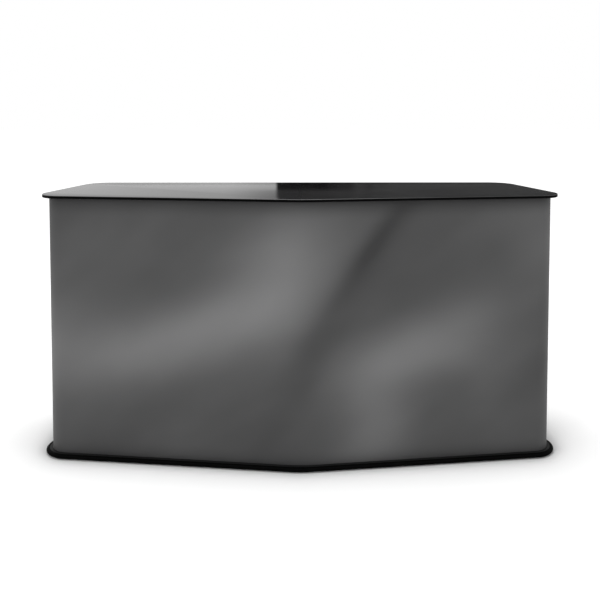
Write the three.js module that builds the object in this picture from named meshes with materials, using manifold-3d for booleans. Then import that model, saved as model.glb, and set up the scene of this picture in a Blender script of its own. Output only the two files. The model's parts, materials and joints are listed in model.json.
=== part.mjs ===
// Folding portable bar with a V-shaped front.
//
// Two bar-top leaves and two base boards share one outline. Between them stands a folding frame:
// a fixed spine in the middle, a front frame hinged to each edge of it and an end frame hinged to
// each front frame, with a printed flexible wrap carried all the way round the outside.
// Folding swings the front frames back until they lie side by side behind the spine, while the end
// frames, the shelves and their brackets turn flat between them.
//
// Millimetres, +Z up, +X to the guest's right, +Y towards the barkeeper.
// The origin lies on the floor, under the middle of the boards.

import * as THREE from "three";
import { mergeVertices } from "three/addons/utils/BufferGeometryUtils.js";
import Module from "manifold-3d";

const wasm = await Module();
wasm.setup();
const { degToRad } = THREE.MathUtils;

// Overall sizes
const WIDTH = 2160; // across the rounded ends of the boards
const DEPTH = 660; // from the front of the V to the straight back edge
const HEIGHT = 1100; // floor to bar top
const FRONT_ANGLE = degToRad(7.2); // how far each front half leans back from the middle
const END_TAPER = degToRad(13.2); // how far each end leans in towards the back

// Boards
const TOP_THICKNESS = 12;
const TOP_ARRIS = 2; // rounding of the upper edge of the bar top
const BASE_THICKNESS = 18;
const BOARD_OVERHANG = 28; // how far the boards stand out past the wrap
const BACK_CORNER_RADIUS = 110;
const SEAM_GAP = 1; // between the left and the right board
const EDGE_DEPTH = 14; // bumper strip round the base
const EDGE_LIP = 0.5; // how far that strip stays inside the board's faces
const GLIDE_RADIUS = 20;
const GLIDE_HEIGHT = 3;
const GLIDE_INNER_X = 60; // from the middle plane to the inner glides
const GLIDE_BACK_INSET = 80; // from the round corner's centre to the back glides

// Wrap
const WRAP_THICKNESS = 2;
const WRAP_CORNER_RADIUS = 77;
const WRAP_VERTEX_RADIUS = 400; // rounding of the V in the middle
const WRAP_BACK_INSET = 45; // from the boards' back edge to the end of the wrap
const WRAP_FOLD_GAP = 1; // half of the gap at each fold line

// Frame tubes
const TUBE = 25;
const TUBE_WALL = 2;
const TUBE_CORNER = 3;
const POST_WALL = 2.5;
const RUNNING_GAP = 0.5; // between pieces that slide past each other
const CLEARANCE = 0.3; // between pieces that are fixed to each other
const BITE = 1; // how far shapes that are joined or cut run into each other
const CHAMFER = 1; // on the ends of turned pieces
const PIN_STANDOUT = 2; // how far a pin stands out of what carries it

// Spine hinges
const HINGE_LEAF = 2; // thickness of a hinge leaf
const HINGE_LEAF_WIDTH = 40;
const SPINE_LEAF_WIDTH = 22;
const KNUCKLE_RADIUS = 4;
const HINGE_PIN_RADIUS = 2;
const KNUCKLE_COUNT = 5;
const HINGE_END_MARGIN = 40; // from each end of the frame to the hinge
const FOLD_CLEARANCE = 1.5; // from the folded frame to the middle plane
const STILE_SETBACK = 24; // from the hinge line to the inner stile, so that it clears the folded spine
const SPINE_WALL = 3;
const SPINE_FOOT_THICKNESS = 6;
const SPINE_FOOT_TONGUE = 80; // length of the foot behind the spine
const SPINE_FOOT_TONGUE_HALF = 40;
const SPINE_FOOT_ROUND = 12;
const SPINE_CAP_THICKNESS = 6;

// Corner pivots
const POST_RADIUS = 18;
const POST_CLEARANCE = 1.7; // from the post to the inside of the round corner
const LUG_THICKNESS = 4;
const LUG_RADIUS = 16;
const STUD_RADIUS = 6;
const BRACKET_PLATE = 5; // thickness of the plate over each end of the post
const POST_PLUG = 12; // depth of the bracket's plug inside the post
const STUD_HEADROOM = 3; // from the end frame's lug to the end of the stud
const STILE_OVERLAP = 10; // how far the outer stile reaches back from the round corner

// Shelves
const SHELF_LEVEL = 600; // underside of the shelves
const SHELF_THICKNESS = 15;
const SHELF_REACH = 240; // from the pivot to the back edge
const SHELF_INNER = 150; // from the spine hinge to the shelf
const SHELF_OUTER_GAP = 156; // from the corner pivot to the shelf
const SHELF_EDGE_RADIUS = 3;
const SHELF_ROD_RADIUS = 3;
const SHELF_LUG = 5; // thickness of the lugs that carry the rod
const SHELF_LUG_DROP = 40; // how far those lugs reach down the beam
const SHELF_LUG_TOE = 2; // their depth at the lower end
const SHELF_LUG_HEEL = 12; // their straight back below the shelf
const BEAM_HEIGHT = 120;
const BRACKET_REACH = 190;
const BRACKET_THICKNESS = 4;
const BRACKET_BARREL_RADIUS = 5;
const BRACKET_TRUNNION_RADIUS = 3;
const BRACKET_TAB = 5;
const BRACKET_TAB_HALF = 10;
const BRACKET_TIP = 20; // height of the gusset at its free end
const BRACKET_RELIEF = 22; // the upper edge starts this far behind the pivot, clear of the tab
const BRACKET_RELIEF_SLOPE = 8;
const BRACKET_EASE = 3; // from the ends of the barrel to the gusset
const BRACKET_WINDOW = { front: 30, back: 62, above: 16, backDrop: 24, frontRise: 42 };

// Locating and locking pieces
const SPIGOT_RADIUS = 6;
const SPIGOT_HEIGHT = 7.5;
const SPIGOT_OFFSET = 30; // from the middle plane
const LATCH_PIVOT_OFFSET = 40; // from the seam, on the left board
const LATCH_PIN_OFFSET = 30; // from the seam, on the right board
const LATCH_BACK_INSET = 130; // from the back edge
const LATCH_WIDTH = 18;
const LATCH_THICKNESS = 5;
const LATCH_POCKET = 9; // depth of the pocket that holds the latch
const LATCH_PIN_RADIUS = 4;
const LATCH_PLAY = 1; // under the latch and over its pin
const LATCH_FLOOR = 2; // of the board, left under the pivot hole

// Fineness of round shapes
const ROUND_STEPS = 16;
const TUBE_CORNER_STEPS = 2;
const CORNER_STEPS = 10;
const VERTEX_STEPS = 6;
const NOSE_STEPS = 8;

// Levels
const BASE_TOP = GLIDE_HEIGHT + BASE_THICKNESS;
const TOP_UNDERSIDE = HEIGHT - TOP_THICKNESS;
const FRAME_BOTTOM = BASE_TOP + RUNNING_GAP;
const FRAME_TOP = TOP_UNDERSIDE - RUNNING_GAP;

// Corner pivot, from the outer face of the wrap: the post just clears the inside of the round corner
const CORNER_TURN = Math.PI / 2 + END_TAPER - FRONT_ANGLE;
const PIVOT_FROM_CENTRE = WRAP_CORNER_RADIUS - WRAP_THICKNESS - POST_CLEARANCE - POST_RADIUS;
const PIVOT_INSET = WRAP_CORNER_RADIUS - PIVOT_FROM_CENTRE * Math.cos(CORNER_TURN / 2);

// Depths behind the outer face of the wrap
const TUBE_FRONT = WRAP_THICKNESS + HINGE_LEAF + 2 * RUNNING_GAP;
const TUBE_BACK = TUBE_FRONT + TUBE;
const HINGE_DEPTH = WRAP_THICKNESS + RUNNING_GAP + KNUCKLE_RADIUS;
const SHELF_PIVOT_DEPTH = PIVOT_INSET; // halfway between the front and the folded end frame

// Plan of the wrap, right half
const WRAP_FRONT = BOARD_OVERHANG - DEPTH / 2;
const BACK = DEPTH / 2;
const VERTEX_CENTRE = new THREE.Vector2(0, WRAP_FRONT + WRAP_VERTEX_RADIUS);
const HINGE_X = 2 * PIVOT_INSET - HINGE_DEPTH + FOLD_CLEARANCE;
const ALONG_FRONT = new THREE.Vector2(Math.cos(FRONT_ANGLE), Math.sin(FRONT_ANGLE));
const VERTEX_END = new THREE.Vector2(ALONG_FRONT.y, -ALONG_FRONT.x)
  .multiplyScalar(WRAP_VERTEX_RADIUS)
  .add(VERTEX_CENTRE);
const SPINE_FLAT = (HINGE_X + HINGE_DEPTH * ALONG_FRONT.y - VERTEX_END.x) / ALONG_FRONT.x;
const FRONT_START = VERTEX_END.clone().addScaledVector(ALONG_FRONT, SPINE_FLAT);
const CORNER_X = WIDTH / 2 - BOARD_OVERHANG - WRAP_CORNER_RADIUS;
const FRONT_LENGTH = (CORNER_X - FRONT_START.x + WRAP_CORNER_RADIUS * ALONG_FRONT.y) / ALONG_FRONT.x;
const CORNER_CENTRE = FRONT_START.clone()
  .addScaledVector(ALONG_FRONT, FRONT_LENGTH)
  .add(new THREE.Vector2(-ALONG_FRONT.y, ALONG_FRONT.x).multiplyScalar(WRAP_CORNER_RADIUS));

// Where the round corner meets the straight front and end, measured from the pivot
const TANGENT_REACH =
  ((WRAP_CORNER_RADIUS - PIVOT_INSET) * (1 - Math.cos(CORNER_TURN))) / Math.sin(CORNER_TURN);
const PIVOT_U = FRONT_LENGTH + TANGENT_REACH;
const END_START = TANGENT_REACH; // where the round corner ends, along the end frame from its pivot
const END_CORNER_Y = CORNER_CENTRE.y + WRAP_CORNER_RADIUS * Math.sin(END_TAPER);
const END_LENGTH = END_START + (BACK - WRAP_BACK_INSET - END_CORNER_Y) / Math.cos(END_TAPER);
const END_RAIL_GAP = 4; // from the end of the round corner to the end frame's tubes
const END_TUBE_OUTER = TUBE_FRONT - PIVOT_INSET; // sideways from the corner pivot
const END_TUBE_INNER = END_TUBE_OUTER + TUBE;

// Materials
const finish = (color, roughness, metalness) =>
  new THREE.MeshStandardMaterial({ color, roughness, metalness });
const MATERIALS = {
  top: finish(0x1b1b1d, 0.18, 0),
  base: finish(0x141414, 0.55, 0),
  edge: finish(0x0b0b0b, 0.6, 0),
  wrap: finish(0x565656, 0.45, 0),
  tube: finish(0xb4b6b8, 0.35, 0.9),
  fitting: finish(0x1c1c1e, 0.45, 0.2),
  steel: finish(0x9a9c9f, 0.3, 1),
  shelf: finish(0x202022, 0.4, 0),
  rubber: finish(0x101010, 0.85, 0),
};

// Solids: closed meshes, booleans and basic forms

function solidOf(geometry) {
  const bare = geometry.index ? geometry.toNonIndexed() : geometry.clone();
  const positions = new THREE.BufferGeometry().setAttribute("position", bare.getAttribute("position"));
  const merged = mergeVertices(positions, 1e-4);
  const mesh = new wasm.Mesh({
    numProp: 3,
    vertProperties: merged.attributes.position.array,
    triVerts: new Uint32Array(merged.index.array),
  });
  return new wasm.Manifold(mesh);
}

function geometryOf(solid) {
  const mesh = solid.getMesh();
  return new THREE.BufferGeometry()
    .setAttribute("position", new THREE.BufferAttribute(mesh.vertProperties, 3))
    .setIndex(new THREE.BufferAttribute(mesh.triVerts, 1))
    .toNonIndexed();
}

const join = (first, ...others) =>
  geometryOf(others.reduce((whole, other) => whole.add(solidOf(other)), solidOf(first)));

const cut = (first, ...tools) =>
  geometryOf(tools.reduce((whole, tool) => whole.subtract(solidOf(tool)), solidOf(first)));

// Closed surface through rings of equal length; flatLoop is one ring drawn flat, for the end caps.
function skin(rings, flatLoop) {
  const count = flatLoop.length;
  const last = (rings.length - 1) * count;
  const faces = [];
  for (const [a, b, c] of THREE.ShapeUtils.triangulateShape(flatLoop, [])) {
    faces.push(c, b, a, last + a, last + b, last + c);
  }
  for (let ring = 0; ring < rings.length - 1; ring++) {
    for (let i = 0; i < count; i++) {
      const near = ring * count + i;
      const next = ring * count + ((i + 1) % count);
      faces.push(near, next, next + count, near, next + count, near + count);
    }
  }
  const geometry = new THREE.BufferGeometry().setFromPoints(rings.flat());
  geometry.setIndex(faces);
  return geometry;
}

// Stack of outlines, each at its own height.
function loft(levels) {
  const rings = levels.map(({ outline, z }) => outline.map((p) => new THREE.Vector3(p.x, p.y, z)));
  return skin(rings, levels[0].outline);
}

// Profile of [offset along the normal, height] points carried along a plan path.
function sweep(path, profile) {
  const rings = path.map(({ at, normal }) =>
    profile.map(([d, z]) => new THREE.Vector3(at.x + normal.x * d, at.y + normal.y * d, z)),
  );
  return skin(
    rings.reverse(),
    profile.map(([d, z]) => new THREE.Vector2(d, z)),
  );
}

function extrude(shape, from, to, curveSegments = TUBE_CORNER_STEPS) {
  const options = { depth: to - from, bevelEnabled: false, curveSegments };
  return new THREE.ExtrudeGeometry(shape, options).translate(0, 0, from);
}

// Extrusion along X of a shape drawn in the Y-Z plane.
const extrudeX = (shape, from, to, curveSegments = TUBE_CORNER_STEPS) =>
  extrude(shape, from, to, curveSegments).applyMatrix4(
    new THREE.Matrix4().makeBasis(
      new THREE.Vector3(0, 1, 0),
      new THREE.Vector3(0, 0, 1),
      new THREE.Vector3(1, 0, 0),
    ),
  );

// Turned piece about +Z, from [radius, height] points.
const turned = (profile, steps = ROUND_STEPS) =>
  new THREE.LatheGeometry(
    profile.map(([radius, z]) => new THREE.Vector2(radius, z)),
    steps,
  ).rotateX(Math.PI / 2);

const rod = (radius, from, to, steps = ROUND_STEPS) =>
  turned([[0, from], [radius, from], [radius, to], [0, to]], steps);

const rodX = (radius, from, to, y, z) => rod(radius, from, to).rotateY(Math.PI / 2).translate(0, y, z);

function roundedRectangle(x0, y0, x1, y1, radius, Kind = THREE.Shape) {
  const quarter = Math.PI / 2;
  const outline = new Kind();
  outline.moveTo(x0 + radius, y0);
  outline.absarc(x1 - radius, y0 + radius, radius, -quarter, 0);
  outline.absarc(x1 - radius, y1 - radius, radius, 0, quarter);
  outline.absarc(x0 + radius, y1 - radius, radius, quarter, 2 * quarter);
  outline.absarc(x0 + radius, y0 + radius, radius, 2 * quarter, 3 * quarter);
  return outline;
}

function tubeSection(x0, y0, x1, y1) {
  const section = roundedRectangle(x0, y0, x1, y1, TUBE_CORNER);
  const inside = [x0 + TUBE_WALL, y0 + TUBE_WALL, x1 - TUBE_WALL, y1 - TUBE_WALL];
  section.holes.push(roundedRectangle(...inside, TUBE_CORNER - TUBE_WALL, THREE.Path));
  return section;
}

const shapeOf = (points) => new THREE.Shape(points.map(([x, y]) => new THREE.Vector2(x, y)));

function circleHole(x, y, radius) {
  const hole = new THREE.Path();
  hole.absarc(x, y, radius, 0, 2 * Math.PI);
  return hole;
}

function place(parent, name, geometry, material) {
  const mesh = new THREE.Mesh(geometry, material);
  mesh.name = name;
  parent.add(mesh);
  return mesh;
}

// Plan of the boards, right half

// Points of an arc with their outward normals, from one normal angle to another.
function arcPath(centre, radius, from, to, steps) {
  return Array.from({ length: steps + 1 }, (_, i) => {
    const angle = from + ((to - from) * i) / steps;
    const normal = new THREE.Vector2(Math.cos(angle), Math.sin(angle));
    return { at: normal.clone().multiplyScalar(radius).add(centre), normal };
  });
}

// From the seam at the front, round the corner and the end, to the seam at the back.
function boardPath() {
  const quarter = Math.PI / 2;
  const vertexRadius = WRAP_VERTEX_RADIUS + BOARD_OVERHANG;
  const cornerRadius = WRAP_CORNER_RADIUS + BOARD_OVERHANG;
  const inward = cornerRadius - BACK_CORNER_RADIUS;
  const along =
    (BACK - BACK_CORNER_RADIUS - CORNER_CENTRE.y - inward * Math.sin(END_TAPER)) / Math.cos(END_TAPER);
  const backCentre = new THREE.Vector2(
    CORNER_X + inward * Math.cos(END_TAPER) - along * Math.sin(END_TAPER),
    BACK - BACK_CORNER_RADIUS,
  );
  const seamAngle = Math.asin(SEAM_GAP / 2 / vertexRadius);
  return [
    ...arcPath(VERTEX_CENTRE, vertexRadius, seamAngle - quarter, FRONT_ANGLE - quarter, VERTEX_STEPS),
    ...arcPath(CORNER_CENTRE, cornerRadius, FRONT_ANGLE - quarter, END_TAPER, CORNER_STEPS),
    ...arcPath(backCentre, BACK_CORNER_RADIUS, END_TAPER, quarter, CORNER_STEPS),
    { at: new THREE.Vector2(SEAM_GAP / 2, BACK), normal: new THREE.Vector2(0, 1) },
  ];
}

// Closed outline of one board, drawn in by an inset all round and by its own inset at the seam.
function boardOutline(inset, seamInset) {
  return boardPath().map(({ at, normal }) => {
    const point = at.clone().addScaledVector(normal, -inset);
    point.x = Math.max(point.x, SEAM_GAP / 2 + seamInset);
    return point;
  });
}

const spigotY = WRAP_FRONT + (TUBE_FRONT + TUBE_BACK) / 2;
const latchY = BACK - LATCH_BACK_INSET;

// Bar top: a compact laminate leaf on each side of the seam

function topLeaf() {
  const arris = (depth) => boardOutline(depth, depth);
  const eased = TOP_ARRIS * (1 - Math.SQRT1_2);
  const plate = loft([
    { outline: arris(TOP_ARRIS / 2), z: TOP_UNDERSIDE },
    { outline: arris(0), z: TOP_UNDERSIDE + TOP_ARRIS / 2 },
    { outline: arris(0), z: HEIGHT - TOP_ARRIS },
    { outline: arris(eased), z: HEIGHT - eased },
    { outline: arris(TOP_ARRIS), z: HEIGHT },
  ]);
  const spigotHole = rod(
    SPIGOT_RADIUS + 2 * CLEARANCE,
    TOP_UNDERSIDE - BITE,
    TOP_UNDERSIDE + SPIGOT_HEIGHT + CHAMFER,
  ).translate(SPIGOT_OFFSET, spigotY, 0);
  return cut(plate, spigotHole);
}

// Base: a board with a bull-nosed bumper strip and low glides

// The latch turns a quarter in this pocket, drawn about its pivot on the left board.
function latchPocket() {
  const reach = LATCH_PIVOT_OFFSET + LATCH_PIN_OFFSET + LATCH_WIDTH;
  const spread = Math.atan2(LATCH_WIDTH, LATCH_PIVOT_OFFSET);
  const sector = new THREE.Shape();
  sector.moveTo(0, 0);
  sector.lineTo(reach * Math.cos(spread), -reach * Math.sin(spread));
  sector.absarc(0, 0, reach, -spread, Math.PI / 2 + spread);
  const floor = BASE_TOP - LATCH_POCKET;
  const seat = rod(LATCH_WIDTH / 2 / Math.sin(spread) + LATCH_PLAY, floor, BASE_TOP + BITE);
  const sweptSector = extrude(sector, floor, BASE_TOP + BITE, ROUND_STEPS / 2);
  return join(sweptSector, seat).translate(-LATCH_PIVOT_OFFSET, latchY, 0);
}

function baseBoard(side) {
  const outline = boardOutline(EDGE_DEPTH + CLEARANCE, 0);
  const board = loft([
    { outline, z: GLIDE_HEIGHT },
    { outline, z: BASE_TOP },
  ]).scale(side, 1, 1);
  const upright = side < 0 ? flipped(board) : board;
  if (side > 0) return cut(upright, latchPocket());
  const pivotHole = rod(LATCH_PIN_RADIUS + 2 * CLEARANCE, GLIDE_HEIGHT + LATCH_FLOOR, BASE_TOP);
  return cut(upright, latchPocket(), pivotHole.translate(-LATCH_PIVOT_OFFSET, latchY, 0));
}

// A mirrored mesh with its faces turned out again.
function flipped(geometry) {
  const index = geometry.index.array;
  for (let i = 0; i < index.length; i += 3) {
    [index[i + 1], index[i + 2]] = [index[i + 2], index[i + 1]];
  }
  return geometry;
}

function baseEdge() {
  const half = BASE_THICKNESS / 2 - EDGE_LIP;
  const middle = GLIDE_HEIGHT + BASE_THICKNESS / 2;
  const nose = Array.from({ length: NOSE_STEPS + 1 }, (_, i) => {
    const angle = -Math.PI / 2 + (Math.PI * i) / NOSE_STEPS;
    return [half * (Math.cos(angle) - 1), middle + half * Math.sin(angle)];
  });
  return sweep(boardPath(), [[-EDGE_DEPTH, middle - half], ...nose, [-EDGE_DEPTH, middle + half]]);
}

function glide(x, y) {
  return turned([
    [0, 0],
    [GLIDE_RADIUS - CHAMFER, 0],
    [GLIDE_RADIUS, CHAMFER],
    [GLIDE_RADIUS, GLIDE_HEIGHT],
    [0, GLIDE_HEIGHT],
  ]).translate(x, y, 0);
}

function latchHook() {
  const reach = LATCH_PIVOT_OFFSET + LATCH_PIN_OFFSET;
  const half = LATCH_WIDTH / 2;
  const slot = LATCH_PIN_RADIUS + 2 * CLEARANCE;
  const arm = new THREE.Shape();
  arm.absarc(0, 0, half, Math.PI / 2, (3 * Math.PI) / 2);
  arm.lineTo(reach - slot, -half);
  arm.absarc(reach, 0, slot, Math.PI, 0, true);
  arm.lineTo(reach + slot, -half);
  arm.absarc(reach, 0, Math.hypot(slot, half), -Math.atan2(half, slot), Math.PI / 2);
  arm.lineTo(0, half);
  const bottom = BASE_TOP - LATCH_POCKET + LATCH_PLAY;
  const bar = extrude(arm, bottom, bottom + LATCH_THICKNESS, ROUND_STEPS / 2);
  const stud = rod(LATCH_PIN_RADIUS, GLIDE_HEIGHT + LATCH_FLOOR + LATCH_PLAY, bottom + BITE);
  return join(bar, stud).translate(-LATCH_PIVOT_OFFSET, latchY, 0);
}

function latchPin() {
  const pin = rod(LATCH_PIN_RADIUS, BASE_TOP - LATCH_POCKET, BASE_TOP - LATCH_PLAY);
  return pin.translate(LATCH_PIN_OFFSET, latchY, 0);
}

// Spine: a hollow extrusion with a curved face, its foot and its cap

const SPINE_EDGE = HINGE_X - 2 * KNUCKLE_RADIUS;

function spineSection(inset, Kind = THREE.Shape) {
  const quarter = Math.PI / 2;
  const radius = WRAP_VERTEX_RADIUS - TUBE_FRONT - inset;
  const edge = SPINE_EDGE - inset;
  const back = WRAP_FRONT + TUBE_BACK - inset;
  const arcEnd = VERTEX_CENTRE.y - radius * ALONG_FRONT.x;
  const edgeFront = arcEnd + (edge - radius * ALONG_FRONT.y) * Math.tan(FRONT_ANGLE);
  const section = new Kind();
  section.moveTo(edge, back);
  section.lineTo(-edge, back);
  section.lineTo(-edge, edgeFront);
  section.absarc(0, VERTEX_CENTRE.y, radius, -quarter - FRONT_ANGLE, -quarter + FRONT_ANGLE);
  section.lineTo(edge, edgeFront);
  return section;
}

const SPINE_BOTTOM = BASE_TOP + SPINE_FOOT_THICKNESS;
const SPINE_TOP = FRAME_TOP - SPINE_CAP_THICKNESS;

function spinePost() {
  const section = spineSection(0);
  section.holes.push(spineSection(SPINE_WALL, THREE.Path));
  return extrude(section, SPINE_BOTTOM, SPINE_TOP, VERTEX_STEPS);
}

function spineFoot() {
  const half = SPINE_FOOT_TONGUE_HALF;
  const end = WRAP_FRONT + TUBE_BACK + SPINE_FOOT_TONGUE;
  const tongue = roundedRectangle(-half, spigotY, half, end, SPINE_FOOT_ROUND);
  return join(
    extrude(spineSection(0), BASE_TOP, SPINE_BOTTOM, VERTEX_STEPS),
    extrude(tongue, BASE_TOP, SPINE_BOTTOM, ROUND_STEPS / 4),
  );
}

function spineCap() {
  const lid = extrude(spineSection(0), SPINE_TOP, FRAME_TOP, VERTEX_STEPS);
  const spigot = (x) =>
    turned([
      [0, SPINE_TOP + BITE],
      [SPIGOT_RADIUS, SPINE_TOP + BITE],
      [SPIGOT_RADIUS, FRAME_TOP + SPIGOT_HEIGHT - CHAMFER],
      [SPIGOT_RADIUS - CHAMFER, FRAME_TOP + SPIGOT_HEIGHT],
      [0, FRAME_TOP + SPIGOT_HEIGHT],
    ]).translate(x, spigotY, 0);
  return join(lid, spigot(-SPIGOT_OFFSET), spigot(SPIGOT_OFFSET));
}

// Wrap: one printed sheet, divided at its fold lines

const WRAP_PROFILE = [
  [-WRAP_THICKNESS, FRAME_BOTTOM],
  [0, FRAME_BOTTOM],
  [0, FRAME_TOP],
  [-WRAP_THICKNESS, FRAME_TOP],
];

const facing = (x, y) => ({ at: new THREE.Vector2(x, y), normal: new THREE.Vector2(0, -1) });

function wrapCentre() {
  const middle = -Math.PI / 2;
  const [from, to] = [middle - FRONT_ANGLE, middle + FRONT_ANGLE];
  const arc = arcPath(VERTEX_CENTRE, WRAP_VERTEX_RADIUS, from, to, VERTEX_STEPS);
  const flatEnd = (side) => ({
    at: new THREE.Vector2(side * FRONT_START.x, FRONT_START.y).addScaledVector(
      new THREE.Vector2(side * ALONG_FRONT.x, ALONG_FRONT.y),
      -WRAP_FOLD_GAP,
    ),
    normal: new THREE.Vector2(side * ALONG_FRONT.y, -ALONG_FRONT.x),
  });
  return sweep([flatEnd(-1), ...arc, flatEnd(1)], WRAP_PROFILE);
}

function wrapFront() {
  const centre = new THREE.Vector2(FRONT_LENGTH, WRAP_CORNER_RADIUS);
  const start = -Math.PI / 2;
  const corner = arcPath(centre, WRAP_CORNER_RADIUS, start, start + CORNER_TURN, CORNER_STEPS);
  return sweep([facing(WRAP_FOLD_GAP, 0), ...corner], WRAP_PROFILE);
}

function wrapEnd() {
  const from = facing(END_START + WRAP_FOLD_GAP, -PIVOT_INSET);
  const to = facing(END_LENGTH, -PIVOT_INSET);
  return sweep([from, to], WRAP_PROFILE);
}

// Spine hinge: leaves with interleaved knuckles on one pin, drawn in the front frame's own plane

const HINGE_BOTTOM = FRAME_BOTTOM + HINGE_END_MARGIN;
const HINGE_TOP = FRAME_TOP - HINGE_END_MARGIN;
const KNUCKLE_PITCH = (HINGE_TOP - HINGE_BOTTOM) / KNUCKLE_COUNT;

// side is -1 for the leaf on the spine and 1 for the leaf on the front frame; parity picks its knuckles.
function hingeLeaf(side, width, parity) {
  const front = WRAP_THICKNESS + RUNNING_GAP;
  const clear = KNUCKLE_RADIUS + RUNNING_GAP;
  const strip = (from, to, z0, z1) => {
    const [x0, x1] = side > 0 ? [from, to] : [-to, -from];
    const back = front + HINGE_LEAF;
    return extrude(shapeOf([[x0, front], [x1, front], [x1, back], [x0, back]]), z0, z1);
  };
  const pieces = [strip(clear, width, HINGE_BOTTOM, HINGE_TOP)];
  for (let i = parity; i < KNUCKLE_COUNT; i += 2) {
    const z0 = HINGE_BOTTOM + i * KNUCKLE_PITCH + CLEARANCE;
    const z1 = z0 + KNUCKLE_PITCH - 2 * CLEARANCE;
    pieces.push(strip(0, clear + BITE, z0, z1));
    pieces.push(rod(KNUCKLE_RADIUS, z0, z1).translate(0, HINGE_DEPTH, 0));
  }
  const bore = rod(HINGE_PIN_RADIUS + CLEARANCE, HINGE_BOTTOM - BITE, HINGE_TOP + BITE);
  return cut(join(...pieces), bore.translate(0, HINGE_DEPTH, 0));
}

const hingePin = () =>
  rod(HINGE_PIN_RADIUS, HINGE_BOTTOM - PIN_STANDOUT, HINGE_TOP + PIN_STANDOUT).translate(0, HINGE_DEPTH, 0);

// Front frame: tubes in the plane of the wrap, drawn with X along the front and Y to the back

const RAIL_START = STILE_SETBACK + TUBE + CLEARANCE;
const OUTER_STILE = FRONT_LENGTH - STILE_OVERLAP;

const uprightTube = (x0, y0, z0, z1) => extrude(tubeSection(x0, y0, x0 + TUBE, y0 + TUBE), z0, z1);

const frontRail = (z0, z1) =>
  extrudeX(tubeSection(TUBE_FRONT, z0, TUBE_BACK, z1), RAIL_START, OUTER_STILE - CLEARANCE);

// Corner: a round post between two brackets that carry the pivot studs

const POST_HEAD = FRAME_TOP - LUG_THICKNESS - STUD_HEADROOM; // upper face of the upper bracket
const POST_FOOT = FRAME_BOTTOM + LUG_THICKNESS + STUD_HEADROOM; // lower face of the lower bracket
const POST_BOTTOM = POST_FOOT + BRACKET_PLATE;
const POST_TOP = POST_HEAD - BRACKET_PLATE;

function cornerPost() {
  const inner = POST_RADIUS - POST_WALL;
  const wall = [
    [inner, POST_BOTTOM],
    [POST_RADIUS, POST_BOTTOM],
    [POST_RADIUS, POST_TOP],
    [inner, POST_TOP],
    [inner, POST_BOTTOM],
  ];
  return turned(wall).translate(PIVOT_U, PIVOT_INSET, 0);
}

// Plate from the outer stile to the post, with a plug in the post and a stud for the end frame's lug.
// It stays behind the post's round, so that the wrap can bend round the post when the end folds in.
function cornerBracket(upper) {
  const plate = new THREE.Shape();
  plate.moveTo(OUTER_STILE, TUBE_BACK);
  plate.lineTo(OUTER_STILE, TUBE_FRONT);
  plate.lineTo(OUTER_STILE + TUBE, TUBE_FRONT);
  plate.absarc(PIVOT_U, PIVOT_INSET, POST_RADIUS, -Math.PI / 2, Math.PI / 2);
  const z = upper ? POST_TOP : POST_FOOT;
  const up = upper ? 1 : -1;
  const seat = upper ? POST_TOP : POST_BOTTOM;
  const tip = upper ? FRAME_TOP : FRAME_BOTTOM;
  const spindle = [
    [0, seat - up * POST_PLUG],
    [POST_RADIUS - POST_WALL - CLEARANCE, seat - up * POST_PLUG],
    [POST_RADIUS - POST_WALL - CLEARANCE, seat + up * BITE],
    [STUD_RADIUS, seat + up * BITE],
    [STUD_RADIUS, tip],
    [0, tip],
  ];
  const stud = turned(upper ? spindle : spindle.reverse()).translate(PIVOT_U, PIVOT_INSET, 0);
  return join(extrude(plate, z, z + BRACKET_PLATE, CORNER_STEPS), stud);
}

// Shelf beam: carries the shelf's rod in two lugs and the bracket between two tabs

const SHELF_OUTER = PIVOT_U - SHELF_OUTER_GAP;
const SHELF_AXIS = SHELF_LEVEL + SHELF_THICKNESS / 2;
const BRACKET_X = (SHELF_INNER + SHELF_OUTER) / 2;
const BEAM_BOTTOM = SHELF_LEVEL - BEAM_HEIGHT;
const BRACKET_BOTTOM = BEAM_BOTTOM + 2 * BRACKET_TAB;
const BRACKET_TOP = SHELF_LEVEL - 2 * BRACKET_TAB;
const LUG_REACH = PIVOT_INSET - END_TUBE_INNER - RUNNING_GAP; // stays in front of the folded end frame

function shelfLug(x) {
  const round = LUG_REACH - SHELF_PIVOT_DEPTH;
  const cheek = new THREE.Shape();
  cheek.moveTo(TUBE_BACK - BITE, SHELF_LEVEL - SHELF_LUG_DROP);
  cheek.lineTo(TUBE_BACK + SHELF_LUG_TOE, SHELF_LEVEL - SHELF_LUG_DROP);
  cheek.lineTo(LUG_REACH, SHELF_LEVEL - SHELF_LUG_HEEL);
  cheek.absarc(SHELF_PIVOT_DEPTH, SHELF_AXIS, round, 0, Math.PI);
  cheek.lineTo(SHELF_PIVOT_DEPTH - round, SHELF_LEVEL - TUBE_WALL);
  cheek.lineTo(TUBE_BACK - BITE, SHELF_LEVEL - TUBE_WALL);
  cheek.holes.push(circleHole(SHELF_PIVOT_DEPTH, SHELF_AXIS, SHELF_ROD_RADIUS + CLEARANCE));
  return extrudeX(cheek, x, x + SHELF_LUG, ROUND_STEPS / 2);
}

function bracketTab(z) {
  const tab = new THREE.Shape();
  tab.moveTo(BRACKET_X - BRACKET_TAB_HALF, TUBE_BACK - BITE);
  tab.lineTo(BRACKET_X + BRACKET_TAB_HALF, TUBE_BACK - BITE);
  tab.absarc(BRACKET_X, SHELF_PIVOT_DEPTH, BRACKET_TAB_HALF - CHAMFER, 0, Math.PI);
  tab.holes.push(circleHole(BRACKET_X, SHELF_PIVOT_DEPTH, BRACKET_TRUNNION_RADIUS + CLEARANCE));
  return extrude(tab, z, z + BRACKET_TAB, ROUND_STEPS / 2);
}

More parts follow.
